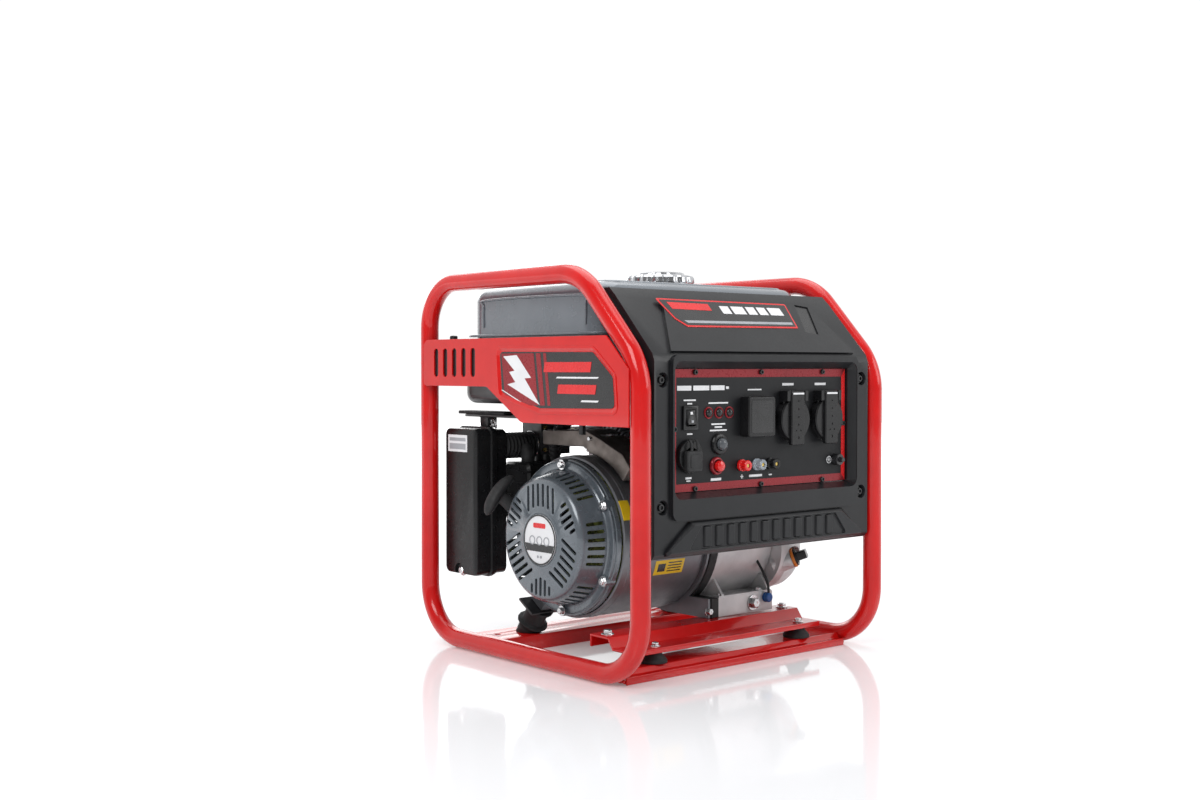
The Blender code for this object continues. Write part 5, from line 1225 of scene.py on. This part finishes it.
def build_intake():
    ribs = [(-0.1282, 0)]
    for step in range(8):
        start = -0.1282 + 0.0054 * step
        ribs += [(start, 0.0142), (start + 0.0008, 0.0162), (start + 0.002, 0.0162),
                 (start + 0.0028, 0.0142), (start + 0.005, 0.014)]
    ribs += [(-0.0848, 0.0165), (-0.0815, 0.0165), (-0.0815, 0)]
    piece("ribbed_boot", turned((0, 0.127, 0.242), (1, 0, 0), ribs, 64), "rubber", stands_for="intake_boot",
          edge=0.0003)
    clamp = ring((0, 0.127, 0.242), (1, 0, 0), -0.084, -0.0818, 0.0172, 0.0164, 64)
    piece("boot_clamp", clamp, "zinc", edge=0.0002)
    body = worked(box((-0.0809, -0.035), (0.108, 0.146), (0.23, 0.27)),
                  [rod((-0.058, 0.127, 0), (0, 0, 1), 0.198, 0.234, 0.0175, 48),
                   rod((-0.058, 0.127, 0), (0, 0, 1), 0.262, 0.276, 0.01, 32),
                   box((-0.07, -0.046), (0.113, 0.141), (0.23, 0.2735))])
    piece("carburettor_body", body, "black_steel", stands_for="carburetor", edge=0.0014, edge_steps=3)
    bolt("bowl_bolt", (-0.058, 0.127, 0.198), (0, 0, -1), 0.0042, "brass")
    for index, (x, z) in enumerate(((-0.076, 0.264), (-0.04, 0.264), (-0.076, 0.236))):
        bolt(f"carburettor_screw_{index}", (x, 0.1079, z), (0, -1, 0), 0.0024, "brass", washer=False)
    choke = BODY_OF["choke_lever"]
    refined("choke_lever", 0.0006)
    bolt("choke_pin", (-0.058, 0.1036, 0.246), (0, -1, 0), 0.0022, "zinc", choke, washer=False)
    routes = ([(-0.102, 0.066, 0.26), (-0.085, 0.07, 0.261), (-0.06, 0.073, 0.2615), (-0.033, 0.075, 0.261)],
              [(-0.1, 0.064, 0.255), (-0.07, 0.07, 0.256), (-0.045, 0.076, 0.257), (-0.03, 0.078, 0.257)])
    for index, route in enumerate(routes):
        piece(f"governor_rod_{index}", swept(eased(route, 6), 0.0009, 10), "zinc")
    piece("governor_fitting", turned((-0.064, 0.07, 0.2595), (1, 0, 0),
                                     [(0, 0), (0, 0.004), (0.004, 0.0046), (0.008, 0.004), (0.015, 0.004),
                                      (0.016, 0.0026), (0.019, 0.0026), (0.019, 0)], 6), "brass",
          edge=0.0003)
    coil = [(-0.1 + 0.024 * step / 120, 0.068 + 0.003 * math.cos(step * 0.55),
             0.25 + 0.003 * math.sin(step * 0.55)) for step in range(121)]
    piece("governor_spring", swept(coil, 0.0005, 8), "zinc")
    chamber = loft([placed(rounded(rectangle((0.088 + inset, 0.14 - inset), (0.15 + inset, 0.222 - inset)),
                                   0.008, 6), "X", x) for inset, x in ((0.003, -0.116), (0, -0.113),
            (0, -0.083), (0.003, -0.08))])
    straps = [box((-0.117, -0.08), (0.0872, 0.1408), (z, z + 0.0024)) for z in (0.165, 0.18, 0.195, 0.21)]
    piece("breather_chamber", worked(chamber, straps), "black_plastic", edge=0.0006)
    duct = eased([(-0.1, 0.11, 0.22), (-0.101, 0.109, 0.232), (-0.1, 0.115, 0.24)], 6)
    piece("breather_duct", swept(duct, 0.0085, 24), "rubber")
    loom = eased([(-0.075, 0.054, 0.276), (-0.086, 0.06, 0.266), (-0.09, 0.068, 0.252),
                  (-0.086, 0.075, 0.238), (-0.08, 0.08, 0.225)], 10)
    piece("breather_hose", swept(loom, 0.0062, 20), "rubber")
    hoops = [ring(loom[index], loom[index + 1] - loom[index], -0.001, 0.001, 0.0074, 0.0058, 24)
             for index in range(2, 38, 4)]
    piece("breather_hose_ribs", combined(hoops), "rubber")


def build_fuel_line():
    cock = Vector((-0.115, -0.03, 0.285))
    refined("fuel_cock", 0.0005)
    refined("fuel_cock_lever", 0.0006)
    refined("fuel_hose", 0.0, finish="rubber")
    for index, y in enumerate((0.0215, 0.048)):
        piece(f"hose_clip_{index}", ring(cock + Vector((0, y - 0.004, 0)), (0, 1, 0), 0, 0.0018, 0.0044,
                                         0.0036, 24), "zinc")


def build_exhaust():
    outline = rectangle((0.07, 0.176), (0.172, 0.288))

    def shell(inset, x):
        grown_in = rectangle((outline[0][0] + inset, outline[1][0] - inset),
                             (outline[0][1] + inset, outline[2][1] - inset))
        return placed(rounded(grown_in, max(0.018 - inset, 0.004), 8), "X", x)

    can = loft([shell(0.004, 0.114), shell(0, 0.118), shell(0, 0.1415), shell(-0.0012, 0.142),
                shell(-0.0012, 0.144), shell(0, 0.1445), shell(0, 0.168), shell(0.004, 0.172)])
    inlet = rod((0, 0.127, 0.25), (1, 0, 0), 0.1003, 0.116, 0.012, 48)
    outlet = turned((0.15, 0.17, 0.195), (0, 1, 0), [(0, 0), (0, 0.008), (0.014, 0.008), (0.014, 0)], 40)
    bore = turned((0.15, 0.17, 0.195), (0, 1, 0), [(0.008, 0), (0.008, 0.0066), (0.02, 0.0066), (0.02, 0)],
                  40)
    piece("silencer", worked(can, [inlet, outlet], [bore]), "heat_steel", stands_for="muffler", edge=0.0006)
    louvres = []
    for step in range(6):
        z = 0.19 + 0.016 * step
        louvres.append(loft([placed(rounded(rectangle((0.086, 0.16), (z, z + 0.008)), 0.003, 5), "X",
                                    0.1715), placed(rounded(rectangle((0.087, 0.159),
                (z + 0.0005, z + 0.004)), 0.001, 5), "X", 0.1748)]))
    piece("silencer_louvres", combined(louvres), "heat_steel", edge=0.0004)
    refined("engine_shroud", 0.0042, edge_steps=4)
    bolt("shroud_bolt", (-0.11, -0.02, 0.2555), (-1, 0, 0), 0.0026, washer=False)
    refined("inverter_module", 0.0008)


# Studio

def look_along(yaw, pitch):
    return Vector((math.sin(yaw) * math.cos(pitch), math.cos(yaw) * math.cos(pitch), math.sin(pitch)))


CAMERA_AT = (-1.202, -1.314, 0.3378)
CAMERA_YAW = 40.56
CAMERA_PITCH = -1.265
LENS_MM = 43.8
FLOOR_HALF = 6
FLOOR_GLOW = 0.16
WHITENING = (("From Min", 1.1), ("From Max", 3.2), ("To Min", FLOOR_GLOW), ("To Max", 1.05))
BACKDROP = 1.05
AMBIENT = 0.46
BACKDROP_SIDE = (0.65, 0.76, 0.0)
MIRRORED = (("From Min", -0.35), ("From Max", 0.25), ("To Min", 0.3), ("To Max", 1.3))
LAMPS = (("key", (-1.9, -0.9, 1.9), (1.2, 1.4), 34), ("fill", (1.5, -2.0, 1.3), (1.4, 1.4), 20),
         ("top", (0.2, 0.3, 2.3), (2.0, 2.0), 26), ("rim", (0.6, 2.0, 1.2), (1.6, 1.2), 16))


def build_studio():
    scene = bpy.context.scene
    square = rectangle((-FLOOR_HALF, FLOOR_HALF), (-FLOOR_HALF, FLOOR_HALF))
    floor = loose(prism(rounded(square, 0.5, 4), "Z", -0.02, -0.0002), "floor")
    material = surface("floor", (0.8, 0.8, 0.81), (0.84, 0.84, 0.85), (0.06, 0.09), grain=60, bump=0.0,
                       patch=2, Emission_Color=(1.0, 1.0, 1.0, 1.0), Emission_Strength=FLOOR_GLOW)
    floor.data.materials.append(material)
    tree = material.node_tree
    place = tree.nodes.new("ShaderNodeNewGeometry")
    distance = tree.nodes.new("ShaderNodeVectorMath")
    distance.operation = "LENGTH"
    whitening = tree.nodes.new("ShaderNodeMapRange")
    for name, value in WHITENING:
        whitening.inputs[name].default_value = value
    tree.links.new(place.outputs["Position"], distance.inputs[0])
    tree.links.new(distance.outputs["Value"], whitening.inputs["Value"])
    shader = next(node for node in tree.nodes if node.type == "BSDF_PRINCIPLED")
    tree.links.new(whitening.outputs["Result"], shader.inputs["Emission Strength"])

    lens = bpy.data.cameras.new("camera")
    lens.lens = LENS_MM
    lens.sensor_width = 36
    camera = bpy.data.objects.new("camera", lens)
    scene.collection.objects.link(camera)
    camera.location = CAMERA_AT
    gaze = look_along(math.radians(CAMERA_YAW), math.radians(CAMERA_PITCH))
    camera.rotation_euler = gaze.to_track_quat("-Z", "Y").to_euler()
    scene.camera = camera

    for name, at, size, power in LAMPS:
        light = bpy.data.lights.new(name, "AREA")
        light.shape = "RECTANGLE"
        light.size, light.size_y = size
        light.energy = power
        lamp = bpy.data.objects.new(name, light)
        scene.collection.objects.link(lamp)
        lamp.location = at
        lamp.rotation_euler = (Vector((0, 0, 0.2)) - Vector(at)).to_track_quat("-Z", "Y").to_euler()

    world = bpy.data.worlds.new("studio")
    scene.world = world
    world.use_nodes = True
    world.cycles.sampling_method = "NONE"
    tree = world.node_tree
    backdrop = tree.nodes["Background"]
    backdrop.inputs["Color"].default_value = (1, 1, 1, 1)
    backdrop.inputs["Strength"].default_value = BACKDROP
    glow = tree.nodes.new("ShaderNodeBackground")
    glow.inputs["Color"].default_value = (0.93, 0.96, 1.0, 1)
    glow.inputs["Strength"].default_value = AMBIENT
    facing = tree.nodes.new("ShaderNodeVectorMath")
    facing.operation = "DOT_PRODUCT"
    facing.inputs[1].default_value = BACKDROP_SIDE
    falloff = tree.nodes.new("ShaderNodeMapRange")
    for name, value in MIRRORED:
        falloff.inputs[name].default_value = value
    mirrored = tree.nodes.new("ShaderNodeBackground")
    direction = tree.nodes.new("ShaderNodeTexCoord")
    tree.links.new(direction.outputs["Generated"], facing.inputs[0])
    tree.links.new(facing.outputs["Value"], falloff.inputs["Value"])
    tree.links.new(falloff.outputs["Result"], mirrored.inputs["Strength"])
    path = tree.nodes.new("ShaderNodeLightPath")
    previous = glow
    for kind, source in (("Is Glossy Ray", mirrored), ("Is Camera Ray", backdrop)):
        pick = tree.nodes.new("ShaderNodeMixShader")
        tree.links.new(path.outputs[kind], pick.inputs[0])
        tree.links.new(previous.outputs[0], pick.inputs[1])
        tree.links.new(source.outputs[0], pick.inputs[2])
        previous = pick
    tree.links.new(previous.outputs[0], tree.nodes["World Output"].inputs["Surface"])
    scene.view_settings.view_transform = "Standard"


build_loops()
build_rails()
build_side_panels()
build_tank()
build_fascia()
build_control_plate()
build_switch_and_lamps()
build_buttons()
build_display()
build_sockets()
build_posts()
build_recoil()
build_drum()
build_crankcase()
build_cylinder()
build_air_filter()
build_intake()
build_fuel_line()
build_exhaust()
build_studio()
